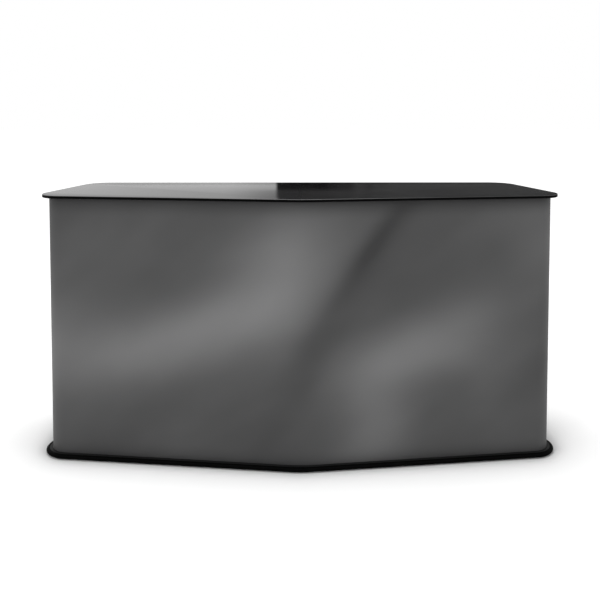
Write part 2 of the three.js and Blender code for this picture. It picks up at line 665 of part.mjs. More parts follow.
function shelfBeam() {
  return join(
    frontRail(BEAM_BOTTOM, SHELF_LEVEL),
    shelfLug(SHELF_INNER - RUNNING_GAP - SHELF_LUG),
    shelfLug(SHELF_OUTER + RUNNING_GAP),
    bracketTab(BRACKET_BOTTOM - RUNNING_GAP - BRACKET_TAB),
    bracketTab(BRACKET_TOP + RUNNING_GAP),
  );
}

const shelfRod = () =>
  rodX(
    SHELF_ROD_RADIUS,
    SHELF_INNER - RUNNING_GAP - SHELF_LUG - PIN_STANDOUT,
    SHELF_OUTER + RUNNING_GAP + SHELF_LUG + PIN_STANDOUT,
    SHELF_PIVOT_DEPTH,
    SHELF_AXIS,
  );

// Shelf with a round nose about its pivot.
function shelfBoard() {
  const nose = SHELF_THICKNESS / 2;
  const back = SHELF_PIVOT_DEPTH + SHELF_REACH;
  const top = SHELF_LEVEL + SHELF_THICKNESS;
  const round = SHELF_EDGE_RADIUS;
  const section = new THREE.Shape();
  section.absarc(SHELF_PIVOT_DEPTH, SHELF_AXIS, nose, Math.PI / 2, (3 * Math.PI) / 2);
  section.absarc(back - round, SHELF_LEVEL + round, round, -Math.PI / 2, 0);
  section.absarc(back - round, top - round, round, 0, Math.PI / 2);
  section.holes.push(circleHole(SHELF_PIVOT_DEPTH, SHELF_AXIS, SHELF_ROD_RADIUS + 2 * CLEARANCE));
  return extrudeX(section, SHELF_INNER, SHELF_OUTER, ROUND_STEPS / 2);
}

// Gusset that swings out under the shelf on its own trunnions.
function shelfBracket() {
  const root = SHELF_PIVOT_DEPTH;
  const tip = root + BRACKET_REACH;
  const top = SHELF_LEVEL - RUNNING_GAP;
  const gusset = shapeOf([
    [root, BRACKET_BOTTOM + BRACKET_EASE],
    [tip, top - BRACKET_TIP],
    [tip, top],
    [root + BRACKET_RELIEF, top],
    [root + BRACKET_RELIEF - BRACKET_RELIEF_SLOPE, BRACKET_TOP - BRACKET_EASE],
    [root, BRACKET_TOP - BRACKET_EASE],
  ]);
  const { front, back, above, backDrop, frontRise } = BRACKET_WINDOW;
  const window = shapeOf([
    [root + front, BRACKET_BOTTOM + frontRise],
    [tip - back, top - backDrop],
    [tip - back, top - above],
    [root + front, top - above],
  ]);
  gusset.holes.push(window);
  const half = BRACKET_THICKNESS / 2;
  const plate = extrudeX(gusset, BRACKET_X - half, BRACKET_X + half);
  const barrel = turned([
    [0, BRACKET_BOTTOM - BRACKET_TAB],
    [BRACKET_TRUNNION_RADIUS, BRACKET_BOTTOM - BRACKET_TAB],
    [BRACKET_TRUNNION_RADIUS, BRACKET_BOTTOM],
    [BRACKET_BARREL_RADIUS, BRACKET_BOTTOM],
    [BRACKET_BARREL_RADIUS, BRACKET_TOP],
    [BRACKET_TRUNNION_RADIUS, BRACKET_TOP],
    [BRACKET_TRUNNION_RADIUS, BRACKET_TOP + BRACKET_TAB],
    [0, BRACKET_TOP + BRACKET_TAB],
  ]).translate(BRACKET_X, SHELF_PIVOT_DEPTH, 0);
  return join(plate, barrel);
}

// End frame: drawn about the corner pivot with X along the end and Y inwards

const END_RAIL_START = END_START + END_RAIL_GAP;
const END_STILE = END_LENGTH - TUBE;

// A rail with a lug that reaches over the corner post's end to its stud.
function endRail(z0, lugBottom) {
  const rail = extrudeX(
    tubeSection(END_TUBE_OUTER, z0, END_TUBE_INNER, z0 + TUBE),
    END_RAIL_START,
    END_STILE - CLEARANCE,
  );
  const root = END_RAIL_START + TUBE;
  const lug = new THREE.Shape();
  lug.moveTo(root, END_TUBE_INNER - TUBE_WALL / 2);
  lug.lineTo(END_RAIL_START, END_TUBE_INNER - TUBE_WALL / 2);
  lug.absarc(0, 0, LUG_RADIUS, Math.PI / 2, (3 * Math.PI) / 2);
  lug.lineTo(END_RAIL_START, END_TUBE_OUTER + TUBE_WALL / 2);
  lug.lineTo(root, END_TUBE_OUTER + TUBE_WALL / 2);
  lug.holes.push(circleHole(0, 0, STUD_RADIUS + CLEARANCE));
  return join(rail, extrude(lug, lugBottom, lugBottom + LUG_THICKNESS, ROUND_STEPS / 2));
}

const END_LUG_TOP = POST_HEAD + RUNNING_GAP;
const END_LUG_BOTTOM = POST_FOOT - RUNNING_GAP - LUG_THICKNESS;

// Assembly

// Everything that the left and the right half share; side is 1 on the right and -1 on the left.
function half(side) {
  const hand = side > 0 ? "right" : "left";
  const group = new THREE.Group();
  group.scale.x = side;
  place(group, `top_leaf_${hand}`, topLeaf(), MATERIALS.top);
  place(group, `base_edge_${hand}`, baseEdge(), MATERIALS.edge);
  const glideSpots = {
    inner: [GLIDE_INNER_X, 0],
    corner: [CORNER_CENTRE.x, CORNER_CENTRE.y],
    back: [CORNER_X - GLIDE_BACK_INSET, BACK - BACK_CORNER_RADIUS],
  };
  for (const [spot, [x, y]] of Object.entries(glideSpots)) {
    place(group, `glide_${spot}_${hand}`, glide(x, y), MATERIALS.rubber);
  }
  group.add(frontFrame(hand));
  return group;
}

function frontFrame(hand) {
  const frame = new THREE.Group();
  frame.position.set(FRONT_START.x, FRONT_START.y, 0);
  frame.rotation.z = FRONT_ANGLE;
  const { tube, fitting, steel, wrap, shelf } = MATERIALS;
  place(frame, `spine_hinge_leaf_${hand}`, hingeLeaf(-1, SPINE_LEAF_WIDTH, 0), steel);
  place(frame, `front_hinge_leaf_${hand}`, hingeLeaf(1, HINGE_LEAF_WIDTH, 1), steel);
  place(frame, `hinge_pin_${hand}`, hingePin(), steel);
  const innerStile = uprightTube(STILE_SETBACK, TUBE_FRONT, FRAME_BOTTOM, FRAME_TOP);
  const outerStile = uprightTube(OUTER_STILE, TUBE_FRONT, POST_BOTTOM, POST_TOP);
  place(frame, `inner_stile_${hand}`, innerStile, tube);
  place(frame, `outer_stile_${hand}`, outerStile, tube);
  place(frame, `top_rail_${hand}`, frontRail(FRAME_TOP - TUBE, FRAME_TOP), tube);
  place(frame, `bottom_rail_${hand}`, frontRail(FRAME_BOTTOM, FRAME_BOTTOM + TUBE), tube);
  place(frame, `shelf_beam_${hand}`, shelfBeam(), tube);
  place(frame, `corner_post_${hand}`, cornerPost(), tube);
  place(frame, `corner_bracket_top_${hand}`, cornerBracket(true), fitting);
  place(frame, `corner_bracket_bottom_${hand}`, cornerBracket(false), fitting);
  place(frame, `wrap_front_${hand}`, wrapFront(), wrap);
  place(frame, `shelf_rod_${hand}`, shelfRod(), steel);
  place(frame, `shelf_${hand}`, shelfBoard(), shelf);
  place(frame, `shelf_bracket_${hand}`, shelfBracket(), fitting);
  frame.add(endFrame(hand));
  return frame;
}

function endFrame(hand) {
  const frame = new THREE.Group();
  frame.position.set(PIVOT_U, PIVOT_INSET, 0);
  frame.rotation.z = CORNER_TURN;
  const { tube, wrap } = MATERIALS;
  const railTop = FRAME_BOTTOM + TUBE + CLEARANCE;
  const railBottom = FRAME_TOP - TUBE - CLEARANCE;
  const frontStile = uprightTube(END_RAIL_START, END_TUBE_OUTER, railTop, railBottom);
  const backStile = uprightTube(END_STILE, END_TUBE_OUTER, FRAME_BOTTOM, FRAME_TOP);
  place(frame, `end_top_rail_${hand}`, endRail(FRAME_TOP - TUBE, END_LUG_TOP), tube);
  place(frame, `end_bottom_rail_${hand}`, endRail(FRAME_BOTTOM, END_LUG_BOTTOM), tube);
  place(frame, `end_front_stile_${hand}`, frontStile, tube);
  place(frame, `end_back_stile_${hand}`, backStile, tube);
  place(frame, `wrap_end_${hand}`, wrapEnd(), wrap);
  return frame;
}

function portableBar() {
  const bar = new THREE.Group();
  bar.name = "folding_portable_bar";
  place(bar, "base_board_right", baseBoard(1), MATERIALS.base);
  place(bar, "base_board_left", baseBoard(-1), MATERIALS.base);
  place(bar, "latch_hook", latchHook(), MATERIALS.steel);
  place(bar, "latch_pin", latchPin(), MATERIALS.steel);
  place(bar, "spine_post", spinePost(), MATERIALS.tube);
  place(bar, "spine_foot", spineFoot(), MATERIALS.fitting);
  place(bar, "spine_cap", spineCap(), MATERIALS.fitting);
  place(bar, "wrap_centre", wrapCentre(), MATERIALS.wrap);
  bar.add(half(1), half(-1));
  return bar;
}

export default portableBar();
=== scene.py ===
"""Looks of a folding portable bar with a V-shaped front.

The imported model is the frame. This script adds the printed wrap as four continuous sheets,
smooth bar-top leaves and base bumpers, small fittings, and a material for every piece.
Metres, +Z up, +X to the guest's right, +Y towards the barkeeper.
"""

import json
import logging
import math
from collections.abc import Callable, Sequence
from dataclasses import dataclass, field
from enum import Enum

import bmesh
import bpy
from mathutils import Matrix, Vector
from mathutils.geometry import tessellate_polygon


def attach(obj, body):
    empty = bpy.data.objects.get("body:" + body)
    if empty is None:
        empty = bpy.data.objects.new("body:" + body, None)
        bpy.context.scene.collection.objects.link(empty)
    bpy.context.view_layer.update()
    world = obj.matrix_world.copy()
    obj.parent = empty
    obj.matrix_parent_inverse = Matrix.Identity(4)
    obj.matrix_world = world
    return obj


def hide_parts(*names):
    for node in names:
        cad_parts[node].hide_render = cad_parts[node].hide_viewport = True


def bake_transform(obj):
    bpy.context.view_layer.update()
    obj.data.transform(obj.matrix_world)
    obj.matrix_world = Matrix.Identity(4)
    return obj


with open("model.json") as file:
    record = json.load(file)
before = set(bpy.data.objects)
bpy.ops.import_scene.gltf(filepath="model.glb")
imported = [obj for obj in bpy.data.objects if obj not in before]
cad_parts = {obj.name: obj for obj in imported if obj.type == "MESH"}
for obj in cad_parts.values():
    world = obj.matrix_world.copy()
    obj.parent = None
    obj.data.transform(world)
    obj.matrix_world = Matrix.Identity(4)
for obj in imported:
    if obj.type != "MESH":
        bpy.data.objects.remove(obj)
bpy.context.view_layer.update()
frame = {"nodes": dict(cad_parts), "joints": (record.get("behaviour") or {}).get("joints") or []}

LOG = logging.getLogger("portable_bar")
SHEET_MAP = "sheet"  # the wrap's flat coordinate, in metres along and up
QUARTER = math.pi / 2

Point = tuple[float, float]
Spot = tuple[float, float, float]
Colour = tuple[float, float, float]
Edge = tuple[Vector, Vector]  # a point in plan and its outward normal

BLACK: Colour = (0.0, 0.0, 0.0)
WHITE: Colour = (1.0, 1.0, 1.0)


class Side(Enum):
    """The two mirrored halves, with the sign of X on each."""

    RIGHT = 1
    LEFT = -1

    @property
    def word(self) -> str:
        """The name used in nodes and bodies."""
        return self.name.lower()

    def turn(self, point: Sequence[float]) -> Vector:
        """A point of the right half, mirrored for this side."""
        return Vector((self.value * point[0], *point[1:]))


# Nodes


class Sock:
    """A node's output with arithmetic that adds Math nodes."""

    def __init__(self, tree: "Tree", socket: bpy.types.NodeSocket) -> None:
        """Wraps one output socket of a tree."""
        self.tree = tree
        self.socket = socket

    def math(self, operation: str, *others: "Sock | float", flip: bool = False) -> "Sock":
        """Adds a Math node.

        Args:
            operation: Name of the Math node's operation.
            others: The other operands.
            flip: Puts this socket last.

        Returns:
            The node's result.
        """
        terms = [self, *others]
        if flip:
            terms.reverse()
        return self.tree.node("ShaderNodeMath", {"operation": operation}, dict(enumerate(terms)))

    def __add__(self, other: "Sock | float") -> "Sock":
        """Sum."""
        return self.math("ADD", other)

    def __sub__(self, other: "Sock | float") -> "Sock":
        """Difference."""
        return self.math("SUBTRACT", other)

    def __rsub__(self, other: float) -> "Sock":
        """Difference from a number."""
        return self.math("SUBTRACT", other, flip=True)

    def __mul__(self, other: "Sock | float") -> "Sock":
        """Product."""
        return self.math("MULTIPLY", other)

    def __truediv__(self, other: "Sock | float") -> "Sock":
        """Quotient."""
        return self.math("DIVIDE", other)

    def __rtruediv__(self, other: float) -> "Sock":
        """A number divided by this socket."""
        return self.math("DIVIDE", other, flip=True)

    __radd__ = __add__
    __rmul__ = __mul__

    def largest(self, other: "Sock | float") -> "Sock":
        """The larger of two values."""
        return self.math("MAXIMUM", other)

    def clamp(self) -> "Sock":
        """This value held between 0 and 1."""
        return self.tree.node("ShaderNodeClamp", {}, {"Value": self})


class Tree:
    """A node tree being built, for a material, the world, a lamp or a modifier."""

    def __init__(self, tree: bpy.types.NodeTree) -> None:
        """Starts with an empty tree."""
        self.tree = tree
        self.tree.nodes.clear()

    def node(
        self,
        kind: str,
        settings: dict[str, object] | None = None,
        inputs: dict[str | int, object] | None = None,
        output: str | int = 0,
    ) -> Sock | None:
        """Adds one node.

        Args:
            kind: The node's type.
            settings: Attributes to set first.
            inputs: Socket values or links, by name, identifier or place.
            output: The output to return.

        Returns:
            That output, or nothing for a node that ends the tree.
        """
        made = self.tree.nodes.new(kind)
        for key, value in (settings or {}).items():
            setattr(made, key, value)
        for key, value in (inputs or {}).items():
            self._set(self._pick(made.inputs, key), value)
        return Sock(self, self._pick(made.outputs, output)) if made.outputs else None

    @staticmethod
    def _pick(sockets: bpy.types.NodeInputs, key: str | int) -> bpy.types.NodeSocket:
        """Finds one of a node's sockets.

        Args:
            sockets: The node's inputs or outputs.
            key: The socket's place, identifier or name.

        Returns:
            The socket.
        """
        if isinstance(key, int):
            return sockets[key]
        return next((s for s in sockets if s.identifier == key), None) or sockets[key]

    def _set(self, socket: bpy.types.NodeSocket, value: object) -> None:
        """Links a socket or gives it a value.

        Args:
            socket: The input to set.
            value: Another node's output, or the socket's own value.
        """
        if isinstance(value, Sock):
            self.tree.links.new(value.socket, socket)
        elif socket.type == "RGBA" and len(value) == 3:
            socket.default_value = (*value, 1.0)
        else:
            socket.default_value = value

    def vector(self, operation: str, *terms: Sock | Spot, output: str | int = 0) -> Sock:
        """The result of a Vector Math node."""
        return self.node("ShaderNodeVectorMath", {"operation": operation}, dict(enumerate(terms)), output)

    def mix(self, factor: Sock, first: Sock | Colour, second: Sock | Colour) -> Sock:
        """A colour between two others."""
        inputs = {"Factor_Float": factor, "A_Color": first, "B_Color": second}
        return self.node("ShaderNodeMix", {"data_type": "RGBA"}, inputs, "Result_Color")


class Shader(Tree):
    """A material being built: one Principled shader and the nodes that feed it."""

    def __init__(self, name: str) -> None:
        """Starts a material.

        Args:
            name: The material's name.
        """
        self.material = bpy.data.materials.new(name)
        self.material.use_nodes = True
        super().__init__(self.material.node_tree)
        surface = self.node("ShaderNodeBsdfPrincipled")
        self.node("ShaderNodeOutputMaterial", {}, {"Surface": surface})
        self.surface = surface.socket.node

    def feed(self, name: str, value: object) -> None:
        """Sets or links one input of the Principled shader."""
        self._set(self.surface.inputs[name], value)

    def place(self, scale: Spot = (1.0, 1.0, 1.0), turn: Spot = (0.0, 0.0, 0.0)) -> Sock:
        """Object coordinates, turned and then scaled."""
        return self.mapped(self.node("ShaderNodeTexCoord", output="Object"), scale, turn)

    def flat(self) -> Sock:
        """The wrap's flat coordinate."""
        return self.node("ShaderNodeUVMap", {"uv_map": SHEET_MAP})

    def mapped(self, spot: Sock, scale: Spot, turn: Spot) -> Sock:
        """A coordinate, turned and then scaled."""
        turned = self.node("ShaderNodeMapping", {}, {"Vector": spot, "Rotation": turn})
        return self.vector("MULTIPLY", turned, scale)

    def axes(self, spot: Sock, names: str) -> list[Sock]:
        """Some of a coordinate's axes, by letter."""
        return [self.node("ShaderNodeSeparateXYZ", {}, {"Vector": spot}, name) for name in names]

    def noise(self, spot: Sock, scale: float, detail: float = 2.0, rough: float = 0.5) -> Sock:
        """Soft noise from 0 to 1."""
        inputs = {"Vector": spot, "Scale": scale, "Detail": detail, "Roughness": rough}
        return self.node("ShaderNodeTexNoise", {"noise_dimensions": "3D"}, inputs, "Fac")

    def rise(self, value: Sock, start: float, end: float) -> Sock:
        """A smooth step from 0 at one value to 1 at another."""
        inputs = {"Value": value, "From Min": start, "From Max": end}
        return self.node("ShaderNodeMapRange", {"interpolation_type": "SMOOTHSTEP"}, inputs)

    def weave(self, flat: Sock, threads: float) -> Sock:
        """A plain weave, from 0 to 1, over a flat coordinate."""
        warp, weft = ((along * threads).math("SINE") for along in self.axes(flat, "XY"))
        return warp * weft * 0.5 + 0.5

    def bump(self, height: Sock, depth: float, strength: float) -> None:
        """Feeds Normal from a height in units of depth, in metres."""
        inputs = {"Height": height, "Distance": depth, "Strength": strength}
        self.feed("Normal", self.node("ShaderNodeBump", {}, inputs, "Normal"))


# Finishes


@dataclass(frozen=True)
class Finish:
    """A surface finish of two tones, made into one material when it is first asked for.

    Attributes:
        name: The material's name.
        slot: The record's material slot; not used.
        dark: The darker tone.
        light: The lighter tone.
        rough: Roughness before the pattern changes it.
    """

    name: str
    slot: str
    dark: Colour
    light: Colour
    rough: float

    def make(self) -> bpy.types.Material:
        """Makes the material once.

        Returns:
            The finish's material.
        """
        known = bpy.data.materials.get(self.name)
        if known:
            return known
        shader = Shader(self.name)
        self.paint(shader)
        return shader.material

    def paint(self, shader: Shader) -> None:
        """Feeds a new material; each finish has its own pattern."""
        raise NotImplementedError

    def tone(self, shader: Shader, share: Sock) -> None:
        """Feeds Base Color with a share of the lighter tone."""
        shader.feed("Base Color", shader.mix(share, self.dark, self.light))


@dataclass(frozen=True)
class GlossLaminate(Finish):
    """Black compact laminate with a smooth gloss face and faint wipe marks."""

    name: str = "gloss_laminate"
    slot: str = "top_laminate"
    dark: Colour = (0.0085, 0.0085, 0.009)
    light: Colour = (0.015, 0.015, 0.0155)
    rough: float = 0.085

    def paint(self, shader: Shader) -> None:
        """Lightens and dulls the gloss where it was wiped.

        Args:
            shader: The new material.
        """
        wiped = shader.place(scale=(1.0, 1.6, 1.0), turn=(0.0, 0.0, 0.5))
        marks = shader.noise(wiped, scale=2.6, detail=4.0, rough=0.55)
        smear = shader.rise(marks, start=0.42, end=0.72)
        grain = shader.noise(shader.place(), scale=900.0)
        shader.feed("IOR", 1.5)
        self.tone(shader, smear)
        shader.feed("Roughness", self.rough + smear * 0.02 + grain * 0.015)
        shader.bump(grain, depth=0.000004, strength=0.25)


@dataclass(frozen=True)
class BoardLaminate(Finish):
    """Matt black board face with a fine pearl texture.

    Attributes:
        shine: Level of its reflection.
        pearl: Fineness of the texture.
    """

    name: str = "board_laminate"
    slot: str = "base_board"
    dark: Colour = (0.0045, 0.0045, 0.0045)
    light: Colour = (0.012, 0.012, 0.012)
    rough: float = 0.50
    shine: float = 0.2
    pearl: float = 420.0

    def paint(self, shader: Shader) -> None:
        """Lays long scuffs over the pearl texture.

        Args:
            shader: The new material.
        """
        pearl = shader.noise(shader.place(), scale=self.pearl, detail=3.0, rough=0.55)
        scuffed = shader.place(scale=(1.0, 4.0, 1.0), turn=(0.0, 0.0, 0.6))
        scuffs = shader.noise(scuffed, scale=6.0, detail=6.0, rough=0.65)
        worn = shader.rise(scuffs, start=0.5, end=0.78)
        shader.feed("Specular IOR Level", self.shine)
        self.tone(shader, pearl * 0.5 + worn * 0.5)
        shader.feed("Roughness", self.rough + worn * 0.1 + pearl * 0.06)
        shader.bump(pearl, depth=0.00012, strength=0.5)


@dataclass(frozen=True)
class ShelfBoard(BoardLaminate):
    """The same board in a slightly lighter, smoother face for the shelves."""

    name: str = "shelf_laminate"
    slot: str = "shelf_board"
    dark: Colour = (0.011, 0.011, 0.012)
    light: Colour = (0.022, 0.022, 0.023)
    rough: float = 0.36
    shine: float = 0.5
    pearl: float = 620.0


@dataclass(frozen=True)
class Bumper(Finish):
    """Extruded black edge strip with fine run lines and a little dust."""

    name: str = "edge_bumper"
    slot: str = "bumper"
    dark: Colour = (0.0015, 0.0015, 0.0015)
    light: Colour = (0.0045, 0.0045, 0.0045)
    rough: float = 0.48

    def paint(self, shader: Shader) -> None:
        """Draws level run lines and spreads dust over them.

        Args:
            shader: The new material.
        """
        lines = shader.noise(shader.place(scale=(2.0, 2.0, 900.0)), scale=1.0)
        specks = shader.noise(shader.place(), scale=14.0, detail=6.0, rough=0.65)
        dust = shader.rise(specks, start=0.5, end=0.8)
        shader.feed("Specular IOR Level", 0.02)
        self.tone(shader, dust)
        shader.feed("Roughness", self.rough + dust * 0.16 + lines * 0.06)
        shader.bump(lines, depth=0.00008, strength=0.4)


@dataclass(frozen=True)
class EdgeBand(Bumper):
    """The same black strip, thin and flat, on the edge of the bar top."""

    name: str = "edge_band"
    slot: str = "top_laminate"


@dataclass(frozen=True)
class Wisp:
    """A soft long patch of the print, lighter or darker than its ground.

    Attributes:
        middle: Its middle, along the sheet from the bar's middle and up.
        angle: The slope of its length.
        spread: Half of its width.
        reach: Half of its length.
        gain: How much tone it adds.
    """

    middle: Point
    angle: float
    spread: float
    reach: float
    gain: float

    def over(self, shader: Shader, spot: Sock) -> Sock:
        """Spreads the patch over the sheet.

        Args:
            shader: The print's material.
            spot: The sheet's flat coordinate.

        Returns:
            The tone that it adds there.
        """
        cosine, sine = math.cos(self.angle), math.sin(self.angle)
        square = 0.0
        for axis, half in (((cosine, sine, 0.0), self.reach), ((-sine, cosine, 0.0), self.spread)):
            offset = axis[0] * self.middle[0] + axis[1] * self.middle[1]
            away = (shader.vector("DOT_PRODUCT", spot, axis, output="Value") - offset) / half
            square = away * away + square
        return (0.0 - square).math("EXPONENT") * self.gain


@dataclass(frozen=True)
class SmokyPrint(Finish):
    """Satin printed face: soft grey wisps on a fine weave, darkened along its top and bottom by painted
    shade.

    Attributes:
        border: The dark tone of the painted shade: a painted shadow under the bar top and painted shade at
            the foot.
        ground: Tone between the wisps, from 0 for dark to 1 for light.
        threads: Fineness of the weave.
        upper_border: Heights from which and to which the painted shadow under the bar top fades.
        lower_border: The same for the painted shade at the foot.
        lower_share: How much of the print the painted shade at the foot takes away.
        wisps: The patches of the print.
    """

    name: str = "smoky_print"
    slot: str = "printed_wrap"
    border: Colour = (0.015, 0.015, 0.0155)
    dark: Colour = (0.033, 0.033, 0.0335)
    light: Colour = (0.205, 0.205, 0.206)
    rough: float = 0.50
    ground: float = 0.20
    threads: float = 2200.0
    upper_border: Point = (1.105, 1.010)
    lower_border: Point = (-0.02, 0.09)
    lower_share: float = 0.6
    wisps: tuple[Wisp, ...] = (
        Wisp((-0.46, 0.545), 0.25, 0.125, 0.52, 0.66),
        Wisp((-0.06, 0.84), 0.95, 0.18, 0.30, 0.62),
        Wisp((0.20, 0.75), 0.95, 0.06, 0.45, -0.20),
        Wisp((0.35, 0.98), 0.95, 0.04, 0.26, -0.12),
        Wisp((0.03, 0.38), 0.95, 0.06, 0.34, -0.12),
        Wisp((0.66, 0.60), 0.32, 0.10, 0.30, 0.40),
        Wisp((0.48, 0.43), 0.18, 0.11, 0.32, 0.50),
        Wisp((0.27, 0.18), 1.35, 0.14, 0.26, 0.46),
        Wisp((-1.28, 0.42), 0.50, 0.14, 0.42, 0.52),
        Wisp((1.30, 0.78), -0.40, 0.14, 0.42, 0.52),
    )

    def paint(self, shader: Shader) -> None:
        """Prints the wisps on the weave, darkened towards the upper and lower edges by painted shade.

        Args:
            shader: The new material.
        """
        flat = shader.flat()
        broad = shader.noise(flat, scale=1.3, detail=1.0, rough=0.4)
        grain = shader.noise(flat, scale=1500.0, detail=1.0)
        weave = shader.weave(flat, self.threads)
        inner = self.inner(shader, flat)
        printed = self.smoke(shader, flat, broad) * 0.98
        inked = (printed + (grain - 0.5) * 0.035 + (weave - 0.5) * 0.02).clamp()
        # painted shade: the print is darkened under the bar top as a painted shadow, and towards the foot
        shade = shader.mix(inner, self.border, self.dark)
        shader.feed("Sheen Weight", 0.05)
        shader.feed("Specular IOR Level", 0.38)
        shader.feed("Base Color", shader.mix(inked * (inner * 0.8 + 0.2), shade, self.light))
        shader.feed("Roughness", self.rough + (grain - 0.5) * 0.10 + (broad - 0.5) * 0.10)
        shader.bump(weave, depth=0.00006, strength=0.30)

    def inner(self, shader: Shader, flat: Sock) -> Sock:
        """Finds how far a place lies clear of the painted shade along the upper and lower edges.

        Args:
            shader: The new material.
            flat: The sheet's flat coordinate.

        Returns:
            A share from 0 in the painted shade to 1.
        """
        (level,) = shader.axes(flat, "Y")
        # painted shadow under the bar top, then painted shade at the foot
        upper = shader.rise(level, *self.upper_border)
        lower = shader.rise(level, *self.lower_border)
        return upper * (lower * self.lower_share + (1.0 - self.lower_share))

    def smoke(self, shader: Shader, flat: Sock, broad: Sock) -> Sock:
        """Adds the wisps to a cloudy ground.

        Args:
            shader: The new material.
            flat: The sheet's flat coordinate.
            broad: Broad noise that bends the wisps.

        Returns:
            The print's tone, from 0 to 1.
        """
        bend = {"X": (broad - 0.5) * 0.30, "Y": (broad - 0.5) * 0.24}
        spot = shader.vector("ADD", flat, shader.node("ShaderNodeCombineXYZ", {}, bend))
        drawn = shader.mapped(spot, scale=(0.9, 1.7, 1.0), turn=(0.0, 0.0, -0.5))
        cloud = shader.noise(drawn, scale=1.9, detail=2.0, rough=0.45)
        tone = self.ground + (cloud - 0.5) * 0.42
        for wisp in self.wisps:
            tone = tone + wisp.over(shader, spot)
        return tone.clamp()


@dataclass(frozen=True)
class Backing(Finish):
    """Dark woven blackout face on the inside of the wrap.

    Attributes:
        threads: Fineness of the weave.
    """

    name: str = "blackout_backing"
    slot: str = "printed_wrap"
    dark: Colour = (0.016, 0.016, 0.016)
    light: Colour = (0.038, 0.038, 0.038)
    rough: float = 0.74
    threads: float = 1500.0

    def paint(self, shader: Shader) -> None:
        """Mottles an open weave.

        Args:
            shader: The new material.
        """
        flat = shader.flat()
        weave = shader.weave(flat, self.threads)
        mottle = shader.noise(flat, scale=9.0, detail=5.0, rough=0.6)
        shader.feed("Sheen Weight", 0.12)
        self.tone(shader, weave * 0.6 + mottle * 0.4)
        shader.feed("Roughness", self.rough + mottle * 0.12)
        shader.bump(weave, depth=0.00015, strength=0.5)


@dataclass(frozen=True)
class Aluminium(Finish):
    """Satin anodised tube, drawn along its length."""

    name: str = "satin_aluminium"
    slot: str = "frame_tube"
    dark: Colour = (0.50, 0.505, 0.51)
    light: Colour = (0.66, 0.665, 0.67)
    rough: float = 0.30

    def paint(self, shader: Shader) -> None:
        """Draws fine lines along uprights and rails, under faint clouds.

        Args:
            shader: The new material.
        """
        upright = shader.noise(shader.place(scale=(900.0, 900.0, 3.0)), scale=1.0)
        level = shader.noise(shader.place(scale=(3.0, 900.0, 900.0)), scale=1.0)
        drawn = upright * 0.5 + level * 0.5
        clouds = shader.noise(shader.place(), scale=5.0, detail=4.0, rough=0.6)
        shader.feed("Metallic", 1.0)
        self.tone(shader, clouds * 0.5 + drawn * 0.5)
        shader.feed("Roughness", self.rough + drawn * 0.10 + clouds * 0.06)
        shader.bump(drawn, depth=0.00003, strength=0.4)


@dataclass(frozen=True)
class PowderCoat(Finish):
    """Black powder coat with a fine orange-peel skin."""

    name: str = "black_powder_coat"
    slot: str = "black_fitting"
    dark: Colour = (0.012, 0.012, 0.0125)
    light: Colour = (0.024, 0.024, 0.025)
    rough: float = 0.42

    def paint(self, shader: Shader) -> None:
        """Rubs the orange-peel skin smoother in places.

        Args:
            shader: The new material.
        """
        peel = shader.noise(shader.place(), scale=650.0)
        patches = shader.noise(shader.place(), scale=22.0, detail=6.0, rough=0.65)
        rubbed = shader.rise(patches, start=0.52, end=0.8)
        self.tone(shader, rubbed)
        shader.feed("Roughness", self.rough + peel * 0.08 - rubbed * 0.06)
        shader.bump(peel, depth=0.00015, strength=0.5)


@dataclass(frozen=True)
class ZincSteel(Finish):
    """Bright zinc-plated steel with a faint crystal pattern."""

    name: str = "zinc_steel"
    slot: str = "bright_steel"
    dark: Colour = (0.42, 0.425, 0.44)
    light: Colour = (0.60, 0.605, 0.61)
    rough: float = 0.24

    def paint(self, shader: Shader) -> None:
        """Dulls the crystal pattern in patches.

        Args:
            shader: The new material.
        """
        cells = {"Vector": shader.place(), "Scale": 160.0}
        spangle = shader.node("ShaderNodeTexVoronoi", {"feature": "F1"}, cells, "Distance")
        dull = shader.noise(shader.place(), scale=30.0, detail=5.0, rough=0.6)
        shader.feed("Metallic", 1.0)
        self.tone(shader, spangle * 0.6 + dull * 0.4)
        shader.feed("Roughness", self.rough + dull * 0.18)
        shader.bump(dull, depth=0.00003, strength=0.4)


@dataclass(frozen=True)
class Rubber(Finish):
    """Matt black rubber with a stippled skin."""

    name: str = "stippled_rubber"
    slot: str = "glide_rubber"
    dark: Colour = (0.008, 0.008, 0.008)
    light: Colour = (0.022, 0.022, 0.021)
    rough: float = 0.72

    def paint(self, shader: Shader) -> None:
        """Dusts the stippled skin.

        Args:
            shader: The new material.
        """
        stipple = shader.noise(shader.place(), scale=1100.0)
        dust = shader.noise(shader.place(), scale=40.0, detail=4.0, rough=0.6)
        self.tone(shader, dust)
        shader.feed("Roughness", self.rough + dust * 0.16)
        shader.bump(stipple, depth=0.0002, strength=0.6)


class Finishes(Enum):
    """Every finish on the bar."""

    TOP = GlossLaminate()
    BASE = BoardLaminate()
    BUMPER = Bumper()
    EDGE = EdgeBand()
    PRINT = SmokyPrint()
    BACKING = Backing()
    TUBE = Aluminium()
    FITTING = PowderCoat()
    STEEL = ZincSteel()
    SHELF = ShelfBoard()
    RUBBER = Rubber()

    def dress(self, piece: bpy.types.Object) -> None:
        """Gives a piece this finish alone."""
        piece.data.materials.clear()
        piece.data.materials.append(self.value.make())

    def add(self, piece: bpy.types.Object, chosen: Callable[[bpy.types.MeshPolygon], bool]) -> None:
        """Gives this finish to some of a dressed piece's faces.

        Args:
            piece: A piece that has its first finish.
            chosen: Says which faces change.
        """
        piece.data.materials.append(self.value.make())
        for polygon in piece.data.polygons:
            if chosen(polygon):
                polygon.material_index = len(piece.data.materials) - 1


# Meshes


